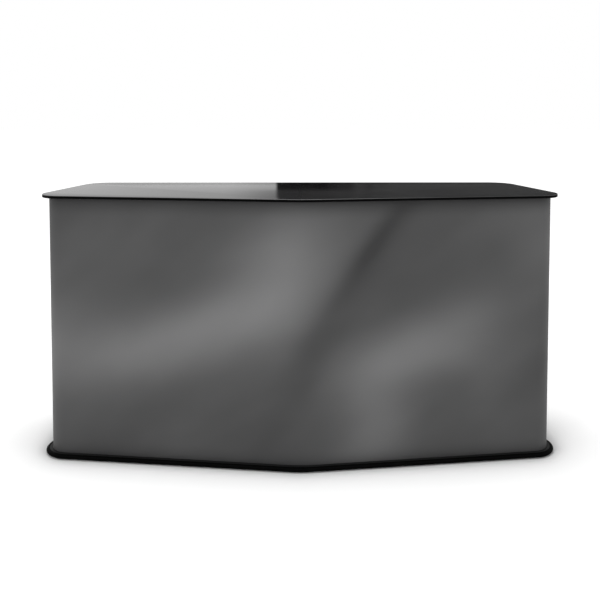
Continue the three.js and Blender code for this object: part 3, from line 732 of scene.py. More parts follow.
@dataclass
class Body:
    """Vertices and faces that become one piece."""

    points: list[Vector] = field(default_factory=list)
    faces: list[tuple[int, ...]] = field(default_factory=list)

    def ring(self, points: Sequence[Sequence[float]]) -> list[int]:
        """Adds points.

        Args:
            points: The points, in order.

        Returns:
            Their places among the body's points.
        """
        start = len(self.points)
        self.points += [Vector(p) for p in points]
        return list(range(start, start + len(points)))

    def band(self, first: Sequence[int], second: Sequence[int], closed: bool = True) -> None:
        """Joins two rings of equal length with quads.

        Args:
            first: Places of one ring.
            second: Places of the other.
            closed: Joins the rings' last points to their first.
        """
        count = len(first)
        for i in range(count if closed else count - 1):
            j = (i + 1) % count
            self.faces.append((first[i], first[j], second[j], second[i]))

    def cap(self, *loops: Sequence[int]) -> None:
        """Fills a flat loop.

        Args:
            loops: Places of the loop, and then of any holes inside it.
        """
        order = [i for loop in loops for i in loop]
        for corners in tessellate_polygon([[self.points[i] for i in loop] for loop in loops]):
            self.faces.append(tuple(order[i] for i in corners))

    def loft(self, rings: Sequence[Sequence[Sequence[float]]]) -> list[list[int]]:
        """Joins several closed rings in order.

        Args:
            rings: The points of each ring.

        Returns:
            The places of each ring.
        """
        placed = [self.ring(points) for points in rings]
        for first, second in zip(placed, placed[1:]):
            self.band(first, second)
        return placed

    def solid(self, rings: Sequence[Sequence[Sequence[float]]]) -> None:
        """Joins several closed rings in order and closes both ends."""
        placed = self.loft(rings)
        self.faces += [tuple(placed[0]), tuple(placed[-1])]

    def piece(self, name: str, sharp: float = 32.0) -> bpy.types.Object:
        """Makes the piece.

        Args:
            name: The piece's name.
            sharp: Edges that turn more than this many degrees stay sharp.

        Returns:
            The new object, with its faces turned outwards.
        """
        mesh = bpy.data.meshes.new(name)
        mesh.from_pydata([tuple(p) for p in self.points], [], self.faces)
        shaped = bmesh.new()
        shaped.from_mesh(mesh)
        bmesh.ops.remove_doubles(shaped, verts=shaped.verts, dist=1e-6)
        bmesh.ops.recalc_face_normals(shaped, faces=shaped.faces)
        shaped.to_mesh(mesh)
        shaped.free()
        mesh.shade_smooth()
        mesh.set_sharp_from_angle(angle=math.radians(sharp))
        made = bpy.data.objects.new(name, mesh)
        bpy.context.scene.collection.objects.link(made)
        LOG.info("built %s, %d faces", name, len(mesh.polygons))
        return made


def settle(piece: bpy.types.Object, body: str, finish: Finishes) -> None:
    """Dresses a piece and lets it ride on a body.

    Args:
        piece: The new piece.
        body: The moving body that carries it.
        finish: Its finish.
    """
    finish.dress(piece)
    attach(piece, body)


def quarter_turn(direction: Vector) -> Vector:
    """A level direction, turned a quarter to its left."""
    return Vector((-direction.y, direction.x))


def polar(centre: Sequence[float], radius: float, angle: float) -> Edge:
    """A point of a circle and its outward normal."""
    normal = Vector((math.cos(angle), math.sin(angle)))
    return Vector(centre) + normal * radius, normal


def arc(centre: Sequence[float], radius: float, start: float, end: float, steps: int) -> list[Edge]:
    """Points of an arc with their outward normals, from one angle to another."""
    return [polar(centre, radius, start + (end - start) * i / steps) for i in range(steps + 1)]


def rectangle(low: Point, high: Point, inset: float = 0.0) -> list[Point]:
    """The corners of a rectangle, in order.

    Args:
        low: Its first corner.
        high: The opposite one.
        inset: How far it is drawn in all round.

    Returns:
        The four corners.
    """
    near, under = low[0] + inset, low[1] + inset
    far, over = high[0] - inset, high[1] - inset
    return [(near, under), (far, under), (far, over), (near, over)]


@dataclass(frozen=True)
class Plan:
    """Plan of the right half, shared by the boards and the wrap, and the frame's height.

    Attributes:
        width: Width of the boards.
        depth: Depth of the boards.
        lean: How far the front leans back from the middle.
        taper: How far the end leans in towards the back.
        overhang: How far the boards stand out past the wrap.
        seam: Gap between the left and the right board.
        back_corner: Radius of the boards' back corners.
        wrap_corner: Radius of the wrap's round corner.
        wrap_vertex: Radius of the rounded V.
        wrap_back_inset: From the boards' back edge to the end of the wrap.
        bottom: Lower edge of the frame and the wrap.
        top: Upper edge of the frame and the wrap.
        divisions: Facets of a board's edge at the V, the round corner and the back corner.
    """

    width: float = 2.160
    depth: float = 0.660
    lean: float = math.radians(7.2)
    taper: float = math.radians(13.2)
    overhang: float = 0.028
    seam: float = 0.001
    back_corner: float = 0.110
    wrap_corner: float = 0.077
    wrap_vertex: float = 0.400
    wrap_back_inset: float = 0.045
    bottom: float = 0.0215
    top: float = 1.0875
    divisions: tuple[int, int, int] = (14, 64, 48)

    @property
    def along(self) -> Vector:
        """Direction of the straight front, outwards from the middle."""
        return Vector((math.cos(self.lean), math.sin(self.lean)))

    @property
    def vertex_centre(self) -> Vector:
        """Centre of the rounded V."""
        return Vector((0.0, self.overhang - self.depth / 2 + self.wrap_vertex))

    @property
    def vertex_run(self) -> float:
        """Length of half of the rounded V, along the wrap."""
        return self.wrap_vertex * self.lean

    @property
    def front_start(self) -> Edge:
        """Where the straight front of the wrap starts, and its outward normal."""
        return polar(self.vertex_centre, self.wrap_vertex, self.lean - QUARTER)

    @property
    def front_length(self) -> float:
        """Length of the straight front.

        Returns:
            The distance from the rounded V to the round corner.
        """
        across = self.width / 2 - self.overhang - self.wrap_corner
        rounded = (self.wrap_vertex - self.wrap_corner) * self.along.y
        return (across - rounded) / self.along.x

    @property
    def corner_centre(self) -> Vector:
        """Centre of the round corner."""
        start = self.vertex_centre - quarter_turn(self.along) * (self.wrap_vertex - self.wrap_corner)
        return start + self.along * self.front_length

    @property
    def corner_run(self) -> float:
        """Length of the round corner, along the wrap."""
        return self.wrap_corner * (QUARTER + self.taper - self.lean)

    @property
    def end_length(self) -> float:
        """Length of the straight end of the wrap."""
        start = self.corner_centre.y + self.wrap_corner * math.sin(self.taper)
        return (self.depth / 2 - self.wrap_back_inset - start) / math.cos(self.taper)

    def board(self) -> list[Edge]:
        """Draws the edge of a board.

        Returns:
            Points with their outward normals, from the seam at the front to the seam at the back.
        """
        corner = self.wrap_corner + self.overhang
        vertex = self.wrap_vertex + self.overhang
        inward = corner - self.back_corner
        level = self.depth / 2 - self.back_corner
        cosine, sine = math.cos(self.taper), math.sin(self.taper)
        run = (level - self.corner_centre.y - inward * sine) / cosine
        back = (self.corner_centre.x + inward * cosine - run * sine, level)
        seam = math.asin(self.seam / 2 / vertex)
        at_vertex, at_corner, at_back = self.divisions
        return [
            *arc(self.vertex_centre, vertex, seam - QUARTER, self.lean - QUARTER, at_vertex),
            *arc(self.corner_centre, corner, self.lean - QUARTER, self.taper, at_corner),
            *arc(back, self.back_corner, self.taper, QUARTER, at_back),
            (Vector((self.seam / 2, self.depth / 2)), Vector((0.0, 1.0))),
        ]

    def drawn_in(self, edge: Edge, inset: float) -> Vector:
        """A point of a board's edge, drawn in but never across the seam."""
        point = edge[0] - edge[1] * inset
        return Vector((max(point.x, self.seam / 2), point.y))


PLAN = Plan()


# Wrap


@dataclass
class Wrap:
    """The printed sheet on one half: an inner and an outer length, each across one fold line.

    Attributes:
        side: The half it is on.
        thickness: The sheet's thickness.
        split: Where the two lengths meet, along the sheet.
        bend: Half of how far the fine columns reach to each side of the spine's fold line.
        rows: Divisions of its height.
        fine: Distance between columns of points round the spine's fold line and the round corner.
        gentle: The same on the rounded V.
        plain: The same where it is flat.
        margin: How far the fine columns go on past the round corner.
    """

    side: Side
    thickness: float = 0.002
    split: float = 0.52
    bend: float = 0.014
    rows: int = 24
    fine: float = 0.0015
    gentle: float = 0.004
    plain: float = 0.02
    margin: float = 0.02

    def at(self, run: float) -> Edge:
        """Finds a place on the outer face.

        Args:
            run: Distance along the sheet from the middle of the bar.

        Returns:
            The point in plan and its outward normal, on the right half.
        """
        if run < PLAN.vertex_run:
            return polar(PLAN.vertex_centre, PLAN.wrap_vertex, run / PLAN.wrap_vertex - QUARTER)
        run -= PLAN.vertex_run
        if run < PLAN.front_length:
            start, normal = PLAN.front_start
            return start + PLAN.along * run, normal
        run -= PLAN.front_length
        angle = PLAN.lean - QUARTER + min(run, PLAN.corner_run) / PLAN.wrap_corner
        point, normal = polar(PLAN.corner_centre, PLAN.wrap_corner, angle)
        return point + quarter_turn(normal) * max(run - PLAN.corner_run, 0.0), normal

    @property
    def corner(self) -> Point:
        """Where the round corner starts and ends, along the sheet."""
        start = PLAN.vertex_run + PLAN.front_length
        return start, start + PLAN.corner_run

    @property
    def length(self) -> float:
        """Length of half of the sheet."""
        return self.corner[1] + PLAN.end_length

    @property
    def hinge(self) -> float:
        """Finds the spine's fold line.

        Returns:
            Its distance along the sheet.
        """
        pivot = next(j for j in frame["joints"] if j["name"] == "front_fold_right")["pos_m"]
        start, _ = PLAN.front_start
        return PLAN.vertex_run + (Vector(pivot[:2]) - start).dot(PLAN.along)

    @property
    def levels(self) -> list[float]:
        """Heights of the rows of points."""
        return [PLAN.bottom + (PLAN.top - PLAN.bottom) * i / self.rows for i in range(self.rows + 1)]

    def stations(self, start: float, end: float) -> list[float]:
        """Divides a length of the sheet, closer where it bends.

        Args:
            start: Where it starts along the sheet.
            end: Where it ends.

        Returns:
            The distances at which it has a column of points.
        """
        tiny = 1e-9
        zones = [
            (0.0, PLAN.vertex_run, self.gentle),
            (self.hinge - 2 * self.bend, self.hinge + 2 * self.bend, self.fine),
            (self.corner[0] - self.margin, self.corner[1] + self.margin, self.fine),
        ]
        runs = [start]
        while runs[-1] < end - 1e-6:
            here = runs[-1]
            step = next((s for low, high, s in zones if low - tiny <= here < high), self.plain)
            ahead = min((low for low, _, _ in zones if low > here + tiny), default=end)
            runs.append(min(here + step, max(ahead, here + self.fine), end))
        return runs

    def skin(self, body: Body, runs: Sequence[float], depth: float) -> list[list[int]]:
        """Adds one face of a sheet.

        Args:
            body: The sheet's mesh.
            runs: Where its columns of points stand, along the sheet.
            depth: Distance behind the outer face.

        Returns:
            The places of each column.
        """
        columns = []
        for run in runs:
            point, normal = self.at(run)
            spot = self.side.turn(point - normal * depth)
            columns.append(body.ring([(spot.x, spot.y, z) for z in self.levels]))
        for first, second in zip(columns, columns[1:]):
            body.band(first, second, closed=False)
        return columns

    def sheet(self, name: str, start: float, end: float) -> bpy.types.Object:
        """Makes one length of the sheet, closed all round, with its flat coordinate.

        Args:
            name: The piece's name.
            start: Where it starts along the sheet.
            end: Where it ends.

        Returns:
            The piece, printed outside and lined inside.
        """
        body = Body()
        runs = self.stations(start, end)
        outer, inner = (self.skin(body, runs, depth) for depth in (0.0, self.thickness))
        printed = len(body.faces) // 2
        for last in (0, -1):
            body.band(outer[last], inner[last], closed=False)
        for row in (0, -1):
            body.band([c[row] for c in outer], [c[row] for c in inner], closed=False)
        piece = body.piece(name)
        spots = [(self.side.value * run, z) for run in runs for z in self.levels] * 2
        flat = piece.data.uv_layers.new(name=SHEET_MAP)
        for loop in piece.data.loops:
            flat.data[loop.index].uv = spots[loop.vertex_index]
        Finishes.PRINT.dress(piece)
        Finishes.BACKING.add(piece, lambda face: face.index >= printed)
        return piece

    def spot(self, run: float) -> Vector:
        """A point on the outer face, halfway up, on this side."""
        point, _ = self.at(run)
        return self.side.turn((point.x, point.y, (PLAN.bottom + PLAN.top) / 2))

    def build(self) -> None:
        """Builds both lengths and hides the imported wrap nodes."""
        word = self.side.word
        inner = self.sheet(f"wrap_inner_{word}", 0.0, self.split)
        outer = self.sheet(f"wrap_outer_{word}", self.split, self.length)
        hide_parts("wrap_centre")
        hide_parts(f"wrap_front_{word}", f"wrap_end_{word}")
        low, high = self.hinge - self.bend, self.hinge + self.bend
        self.spot(low)
        self.spot(high)
        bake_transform(inner)
        low, high = self.corner
        self.spot(low)
        self.spot(high)
        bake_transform(outer)
        self.length - self.split


# Boards


@dataclass
class TopLeaf:
    """One leaf of the bar top: a compact laminate board with eased edges.

    Attributes:
        side: The half it is on.
        underside: Height of its lower face.
        thickness: Its thickness.
        arris: Rounding of its upper edge.
        lower_arris: Rounding of its lower edge.
        lower_ease: Share of that rounding by which its middle is drawn in.
        edge_share: Faces that turn up or down by less than this share have the edge band.
        hole: Middle of the hole for the spine's spigot, in plan.
        hole_radius: Its radius.
        hole_depth: Its depth.
        steps: Divisions of the upper rounding.
        turns: Divisions of the hole.
    """

    side: Side
    underside: float = 1.088
    thickness: float = 0.012
    arris: float = 0.002
    lower_arris: float = 0.001
    lower_ease: float = 0.3
    edge_share: float = 0.3
    hole: Point = (0.030, -0.2845)
    hole_radius: float = 0.0066
    hole_depth: float = 0.0085
    steps: int = 6
    turns: int = 32

    def build(self) -> None:
        """Builds the leaf, with the spigot's hole underneath."""
        body = Body()
        placed = body.loft([self.level(inset, z) for inset, z in self.profile()])
        body.cap(placed[-1])
        depths = (self.underside, self.underside + self.hole_depth)
        mouth, floor = body.loft([self.circle(z) for z in depths])
        body.cap(placed[0], mouth)
        body.cap(floor)
        piece = body.piece(f"bar_top_{self.side.word}", sharp=40.0)
        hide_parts(f"top_leaf_{self.side.word}")
        settle(piece, f"{self.side.word}_top", Finishes.TOP)
        Finishes.EDGE.add(piece, lambda face: abs(face.normal.z) < self.edge_share)

    def profile(self) -> list[Point]:
        """Draws the edge from the lower face to the upper one.

        Returns:
            Distances from the outline, each with its height.
        """
        eased = self.lower_arris * self.lower_ease
        drawn = [
            (self.lower_arris, self.underside),
            (eased, self.underside + eased),
            (0.0, self.underside + self.lower_arris),
        ]
        spring = self.underside + self.thickness - self.arris
        for i in range(self.steps + 1):
            angle = QUARTER * i / self.steps
            drawn.append((self.arris * (1 - math.cos(angle)), spring + self.arris * math.sin(angle)))
        return drawn

    def level(self, inset: float, z: float) -> list[Vector]:
        """The leaf's outline at one height."""
        return [self.side.turn((*PLAN.drawn_in(edge, inset), z)) for edge in PLAN.board()]

    def circle(self, z: float) -> list[Vector]:
        """The spigot hole's rim at one height."""
        rim = [polar(self.hole, self.hole_radius, math.tau * i / self.turns) for i in range(self.turns)]
        return [self.side.turn((*point, z)) for point, _ in rim]


@dataclass
class BaseBumper:
    """Bull-nosed strip round one base board.

    Attributes:
        side: The half it is on.
        depth: How far it reaches in from the edge.
        middle: Height of its middle.
        half: Half of its thickness.
        steps: Divisions of its round nose.
    """

    side: Side
    depth: float = 0.014
    middle: float = 0.012
    half: float = 0.0085
    steps: int = 18

    def build(self) -> None:
        """Builds the strip from seam to seam."""
        body = Body()
        profile = self.profile()
        rings = []
        for edge in PLAN.board():
            rings.append([self.side.turn((*PLAN.drawn_in(edge, inset), z)) for inset, z in profile])
        body.solid(rings)
        piece = body.piece(f"base_bumper_{self.side.word}", sharp=40.0)
        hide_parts(f"base_edge_{self.side.word}")
        settle(piece, "base", Finishes.BUMPER)

    def profile(self) -> list[Point]:
        """Draws the strip's section.

        Returns:
            Distances from the board's outline, each with its height.
        """
        nose = []
        for i in range(self.steps + 1):
            angle = math.pi * i / self.steps - QUARTER
            nose.append((self.half * (1 - math.cos(angle)), self.middle + self.half * math.sin(angle)))
        return [(self.depth, self.middle - self.half), *nose, (self.depth, self.middle + self.half)]


@dataclass
class SeamSeal:
    """A black bead that closes the seam between two boards, a little below their faces.

    Attributes:
        name: The piece's name.
        body: The body it rides on.
        low: Its underside.
        high: Its crest.
        dip: Where it dips under something, from front to back; nowhere, if empty.
        dip_high: Its crest there.
        slope: Length of the slope into the dip.
        end: Distance of both its ends from the middle.
        half: Half of its width.
    """

    name: str
    body: str
    low: float
    high: float
    dip: Sequence[float] = ()
    dip_high: float = 0.0
    slope: float = 0.0001
    end: float = 0.327
    half: float = 0.0004

    def build(self) -> None:
        """Builds the bead from front to back."""
        crest = [(-self.end, self.high), (self.end, self.high)]
        if self.dip:
            start, stop = self.dip
            crest[1:1] = [
                (start, self.high),
                (start + self.slope, self.dip_high),
                (stop - self.slope, self.dip_high),
                (stop, self.high),
            ]
        shape = Body()
        shape.solid([self.section(y, high) for y, high in crest])
        settle(shape.piece(self.name), self.body, Finishes.BUMPER)

    def section(self, y: float, high: float) -> list[Spot]:
        """Draws the bead's outline.

        Args:
            y: Where it is drawn.
            high: Height of the crest there.

        Returns:
            The outline's points.
        """
        half, shoulder = self.half, high - self.half
        outline = ((half, self.low), (-half, self.low), (-half, shoulder), (0.0, high), (half, shoulder))
        return [(x, y, z) for x, z in outline]


# Small fittings


@dataclass
class Screws:
    """Button-head socket screws on one body, made as one piece.

    Attributes:
        name: The piece's name.
        body: The body they ride on.
        radius: Radius of a head.
        height: Height of a head.
        socket: Distance from the socket's middle to its corners.
        turns: Divisions of a head.
        head: Section of a head, in shares of its radius and height.
        socket_levels: The socket's rim and floor, in shares of the height.
        spots: Where they sit, with the way that they face.
    """

    name: str
    body: str
    radius: float = 0.0045
    height: float = 0.0025
    socket: float = 0.0021
    turns: int = 24
    head: Sequence[Point] = ((1.0, 0.0), (0.98, 0.25), (0.86, 0.62), (0.66, 0.88), (0.52, 0.97))
    socket_levels: Point = (0.97, 0.35)
    spots: list[tuple[Vector, Vector]] = field(default_factory=list)

    def add(self, spot: Sequence[float], facing: Sequence[float]) -> None:
        """Puts a screw at a point, facing a direction."""
        self.spots.append((Vector(spot), Vector(facing).normalized()))

    def build(self) -> None:
        """Builds every screw of this body."""
        body = Body()
        for spot, facing in self.spots:
            move = Matrix.Translation(spot) @ facing.to_track_quat("Z", "Y").to_matrix().to_4x4()
            rings = [self.circle(move, lambda _, r=r: r * self.radius, z) for r, z in self.head]
            rings += [self.circle(move, self.hexagon, z) for z in self.socket_levels]
            body.solid(rings)
        settle(body.piece(self.name, sharp=50.0), self.body, Finishes.STEEL)

    def hexagon(self, angle: float) -> float:
        """Distance from the middle to the socket's flat at an angle."""
        sector = math.radians(60.0)
        return self.socket * math.cos(sector / 2) / math.cos(angle % sector - sector / 2)

    def circle(self, move: Matrix, reach: Callable[[float], float], level: float) -> list[Vector]:
        """Draws one ring of a screw.

        Args:
            move: Where the screw sits.
            reach: The ring's distance from the middle at an angle.
            level: Its height, as a share of the head's.

        Returns:
            The ring's points.
        """
        ring = []
        for i in range(self.turns):
            angle = math.tau * i / self.turns
            out = reach(angle)
            ring.append(move @ Vector((out * math.cos(angle), out * math.sin(angle), level * self.height)))
        return ring


@dataclass
class TubeFrame:
    """Fittings of one folding frame, placed along the wrap's face, back from it and up.

    Attributes:
        side: The half it is on.
        tube: Width of a tube.
        tube_front: From the wrap's face to the tubes.
        grip_inset: From a tube's edge to its grip strip.
        strip_depth: Thickness of a grip strip.
        strip_edge: Chamfer of a grip strip.
        plug_wall: From a tube's outside to the plug in its end.
        plug_steps: The plug's section: how far it is drawn in, and how far below the tube's end.
    """

    side: Side
    tube: float = 0.025
    tube_front: float = 0.005
    grip_inset: float = 0.003
    strip_depth: float = 0.0026
    strip_edge: float = 0.0006
    plug_wall: float = 0.0021
    plug_steps: Sequence[Point] = ((0.0, 0.012), (0.0, 0.0012), (0.0008, 0.0004), (0.004, 0.0002))

    @property
    def body(self) -> str:
        """The body that the fittings ride on."""
        raise NotImplementedError

    @property
    def start(self) -> Edge:
        """Where the frame's face starts in plan, and its outward normal."""
        raise NotImplementedError

    @property
    def middle(self) -> float:
        """Distance from the wrap's face to the middle of a tube."""
        return self.tube_front + self.tube / 2

    @property
    def fixings(self) -> Spot:
        """Heights of the screws in a stile: at the lower rail, halfway up and at the upper rail."""
        low, high = PLAN.bottom + self.tube / 2, PLAN.top - self.tube / 2
        return low, (low + high) / 2, high

    def at(self, along: float, back: float, z: float) -> Vector:
        """Finds a point in the frame's axes.

        Args:
            along: Distance along the face.
            back: Distance behind it.
            z: Height.

        Returns:
            The point on this side.
        """
        origin, normal = self.start
        point = origin + quarter_turn(normal) * along - normal * back
        return self.side.turn((point.x, point.y, z))

    def facing(self, along: float, back: float) -> Vector:
        """A level direction in the frame's axes, on this side."""
        return self.at(along, back, 0.0) - self.at(0.0, 0.0, 0.0)

    def strip(self, name: str, low: Point, high: Point) -> None:
        """Makes a flat strip on the face of a tube, which grips the wrap.

        Args:
            name: The piece's name, without its side.
            low: Its first corner, along and up.
            high: Its opposite corner.
        """
        outer = self.tube_front - self.strip_depth
        steps = ((0.0, self.tube_front), (0.0, outer + self.strip_edge), (self.strip_edge, outer))
        rings = []
        for inset, back in steps:
            rings.append([self.at(along, back, z) for along, z in rectangle(low, high, inset)])
        self.closed(name, rings, Finishes.RUBBER)

    def plug(self, name: str, stile: float) -> None:
        """Makes a moulded plug in the open top of a stile.

        Args:
            name: The piece's name, without its side.
            stile: Where the stile starts along the face.
        """
        low = (stile, self.tube_front)
        high = (stile + self.tube, self.tube_front + self.tube)
        rings = []
        for inset, drop in self.plug_steps:
            corners = rectangle(low, high, self.plug_wall + inset)
            rings.append([self.at(along, back, PLAN.top - drop) for along, back in corners])
        self.closed(name, rings, Finishes.FITTING)

    def closed(self, name: str, rings: Sequence[Sequence[Vector]], finish: Finishes) -> None:
        """Makes a piece through rings of points, closed at both ends.

        Args:
            name: The piece's name, without its side.
            rings: The points of each ring.
            finish: Its finish.
        """
        shape = Body()
        shape.solid(rings)
        settle(shape.piece(f"{name}_{self.side.word}"), self.body, finish)


@dataclass
class FrontFrame(TubeFrame):
    """Fittings of one front frame, from the spine's fold line outwards.

    Attributes:
        inner_stile: Where the inner stile starts along the face.
        grip: Where the level grip strips start and end.
        grip_height: Their height.
        rail_screws: Where the rails have screws at the back.
    """

    inner_stile: float = 0.024
    grip: Point = (0.056, 0.90)
    grip_height: float = 0.019
    rail_screws: Sequence[float] = (0.10, 0.35, 0.60, 0.82)

    @property
    def body(self) -> str:
        """The front frame's body."""
        return f"{self.side.word}_front"

    @property
    def start(self) -> Edge:
        """The fold line on the outer face of the wrap."""
        wrap = Wrap(self.side)
        return wrap.at(wrap.hinge)

    def build(self) -> None:
        """Builds the screws, the grip strips and the tube plug."""
        screws = Screws(f"frame_screws_{self.side.word}", self.body)
        for z in self.fixings:
            screws.add(self.at(self.inner_stile, self.middle, z), self.facing(-1.0, 0.0))
        low, _, high = self.fixings
        for along in self.rail_screws:
            for z in (low, high):
                screws.add(self.at(along, self.tube_front + self.tube, z), self.facing(0.0, 1.0))
        screws.build()
        upper = PLAN.top - self.grip_inset - self.grip_height
        for label, z in (("top", upper), ("bottom", PLAN.bottom + self.grip_inset)):
            self.strip(f"grip_strip_{label}", (self.grip[0], z), (self.grip[1], z + self.grip_height))
        self.plug("stile_plug", self.inner_stile)


@dataclass
class EndFrame(TubeFrame):
    """Fittings of one end frame, from the round corner backwards."""

    @property
    def body(self) -> str:
        """The end frame's body."""
        return f"{self.side.word}_end"

    @property
    def start(self) -> Edge:
        """The end of the round corner on the outer face of the wrap."""
        wrap = Wrap(self.side)
        return wrap.at(wrap.corner[1])

    def build(self) -> None:
        """Builds the screws, the upright grip strip and the tube plug."""
        screws = Screws(f"end_screws_{self.side.word}", self.body)
        for z in self.fixings:
            screws.add(self.at(PLAN.end_length, self.middle, z), self.facing(1.0, 0.0))
        screws.build()
        stile = PLAN.end_length - self.tube
        low = (stile + self.grip_inset, PLAN.bottom + self.grip_inset)
        high = (PLAN.end_length - self.grip_inset, PLAN.top - self.grip_inset)
        self.strip("grip_strip_end", low, high)
        self.plug("end_plug", stile)


@dataclass
class SpineFixings:
    """Bolts that hold the spine's foot on the base.

    Attributes:
        foot_top: Height of the foot's upper face.
        aside: Distance of the bolts from the middle.
        rows: Where the two rows of bolts stand, towards the barkeeper.
    """

    foot_top: float = 0.027
    aside: float = 0.026
    rows: Point = (-0.250, -0.212)

    def build(self) -> None:
        """Builds the bolts on the foot."""
        bolts = Screws("spine_bolts", "base", radius=0.0065, height=0.0038, socket=0.0028)
        for x in (-self.aside, self.aside):
            for y in self.rows:
                bolts.add((x, y, self.foot_top), (0.0, 0.0, 1.0))
        bolts.build()


# CAD nodes


@dataclass
class CarriedNodes:
    """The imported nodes: their finishes and eased shading.

    Attributes:
        angle: Edges that turn more than this stay sharp.
        weld: Points closer than this become one.
        finishes: Starts of node names for each finish; the first that fits counts.
    """

    angle: float = math.radians(30.0)
    weld: float = 1e-5
    finishes: dict[Finishes, tuple[str, ...]] = field(
        default_factory=lambda: {
            Finishes.BASE: ("base_board",),
            Finishes.BUMPER: ("base_edge",),
            Finishes.RUBBER: ("glide",),
            Finishes.STEEL: ("latch", "spine_hinge", "front_hinge", "hinge_pin", "shelf_rod"),
            Finishes.FITTING: ("spine_foot", "spine_cap", "corner_bracket", "shelf_bracket"),
            Finishes.TUBE: ("shelf_beam",),
            Finishes.SHELF: ("shelf",),
            Finishes.TOP: ("top_leaf",),
            Finishes.PRINT: ("wrap",),
        }
    )

    def dress(self) -> None:
        """Gives each node its finish; what is not listed is frame tube."""
        eased = self.eased()
        for name, node in frame["nodes"].items():
            fitting = (finish for finish, starts in self.finishes.items() if name.startswith(starts))
            finish = next(fitting, Finishes.TUBE)
            finish.dress(node)
            node.modifiers.new("eased", "NODES").node_group = eased
            LOG.info("dressed %s with %s", name, finish.value.name)

    def eased(self) -> bpy.types.NodeTree:
        """Makes a modifier that welds a node's facets and shades its round faces smooth.

        Returns:
            The modifier's node tree.
        """
        tree = bpy.data.node_groups.new("eased_shading", "GeometryNodeTree")
        for way in ("INPUT", "OUTPUT"):
            tree.interface.new_socket("Geometry", in_out=way, socket_type="NodeSocketGeometry")
        made = Tree(tree)
        plain = {"Geometry": made.node("NodeGroupInput"), "Name": "custom_normal"}
        weld = {"Geometry": made.node("GeometryNodeRemoveAttribute", {}, plain), "Distance": self.weld}
        smooth = {"Geometry": made.node("GeometryNodeMergeByDistance", {}, weld)}
        turn = made.node("GeometryNodeInputMeshEdgeAngle", output="Unsigned Angle")
        gentle = made.node("FunctionNodeCompare", {"operation": "LESS_EQUAL"}, {0: turn, 1: self.angle})
        edges = {"Geometry": made.node("GeometryNodeSetShadeSmooth", {}, smooth), "Shade Smooth": gentle}
        eased = made.node("GeometryNodeSetShadeSmooth", {"domain": "EDGE"}, edges)
        made.node("NodeGroupOutput", {}, {0: eased})
        return tree


# Studio


@dataclass(frozen=True)
class Lamp:
    """A round soft box that fades towards its rim.

    Attributes:
        name: The lamp's name.
        spot: Where it hangs.
        aim: What it points at.
        size: Its diameter.
        power: Its power before the fading, in watts.
        glints: Whether gloss shows it.
    """

    name: str
    spot: Spot
    aim: Spot
    size: float
    power: float
    glints: bool

    def build(self) -> None:
        """Hangs the lamp."""
        data = bpy.data.lights.new(self.name, "AREA")
        data.shape, data.size, data.energy = "DISK", self.size, self.power
        data.use_nodes = True
        self.fade(Tree(data.node_tree))
        lamp = bpy.data.objects.new(self.name, data)
        lamp.location = self.spot
        lamp.visible_glossy = self.glints
        lamp.rotation_euler = (Vector(self.aim) - Vector(self.spot)).to_track_quat("-Z", "Y").to_euler()
        bpy.context.scene.collection.objects.link(lamp)

    def fade(self, tree: Tree) -> None:
        """Dims the lamp from its middle to its rim.

        Args:
            tree: The lamp's node tree.
        """
        spot = tree.node("ShaderNodeNewGeometry", output="Parametric")
        inwards = tree.vector("SUBTRACT", spot, (0.5, 0.5, 0.0))
        away = tree.vector("LENGTH", inwards, output="Value") * 2.0
        glow = {"Color": tree.mix((1.0 - away * away).clamp(), BLACK, WHITE)}
        tree.node("ShaderNodeOutputLight", {}, {"Surface": tree.node("ShaderNodeEmission", {}, glow)})


@dataclass
class Floor:
    """A pale floor that keeps the bar's shadow, with a painted shadow close round the base.

    Attributes:
        half: Half of its width.
        dark: The darker of its tones.
        light: The lighter one.
        near_lift: How much it is lifted towards white in view, from close to the base.
        near_soft: Distance from the base at which half of that lift is reached; nearer in, the missing
            lift paints the floor darker as a shadow.
        far_lift: How much more it is lifted far away.
        far_reach: Where that second lift starts and ends.
    """

    half: float = 40.0
    dark: Colour = (0.78, 0.78, 0.78)
    light: Colour = (0.80, 0.80, 0.80)
    near_lift: float = 0.34
    near_soft: float = 0.04
    far_lift: float = 0.30
    far_reach: Point = (0.6, 3.0)

    def build(self) -> None:
        """Lays the floor."""
        body = Body()
        corners = rectangle((-self.half, -self.half), (self.half, self.half))
        body.cap(body.ring([(x, y, 0.0) for x, y in corners]))
        floor = body.piece("floor")
        shader = Shader("pale_floor")
        tint = shader.noise(shader.place(), scale=1.5, detail=3.0)
        shader.feed("Base Color", shader.mix(tint, self.dark, self.light))
        shader.feed("Roughness", 0.9)
        shader.feed("Specular IOR Level", 0.1)
        seen = shader.node("ShaderNodeLightPath", output="Is Camera Ray")
        away = self.away(shader)
        # painted shadow: the lift fades out towards the base, so the floor is painted darker round it on
        # top of its real shadow
        near = away * away / (away * away + self.near_soft**2)
        lifted = near * self.near_lift + shader.rise(away, *self.far_reach) * self.far_lift
        shader.feed("Emission Color", shader.mix(seen * lifted, BLACK, WHITE))
        shader.feed("Emission Strength", 1.0)
        floor.data.materials.append(shader.material)

    def away(self, shader: Shader) -> Sock:
        """Measures the distance from the base.

        Args:
            shader: The floor's material.

        Returns:
            The distance on the floor, 0 under the base.
        """
        aside, back = shader.axes(shader.place(), "XY")
        across = aside.math("ABSOLUTE")
        front = across * math.tan(PLAN.lean) - PLAN.depth / 2 - back
        beyond = ((back - PLAN.depth / 2).largest(front) + PLAN.back_corner).largest(0.0)
        beside = (across - (PLAN.width / 2 - PLAN.back_corner)).largest(0.0)
        reach = (beyond * beyond + beside * beside).math("SQRT")
        return (reach - PLAN.back_corner).largest(0.0)


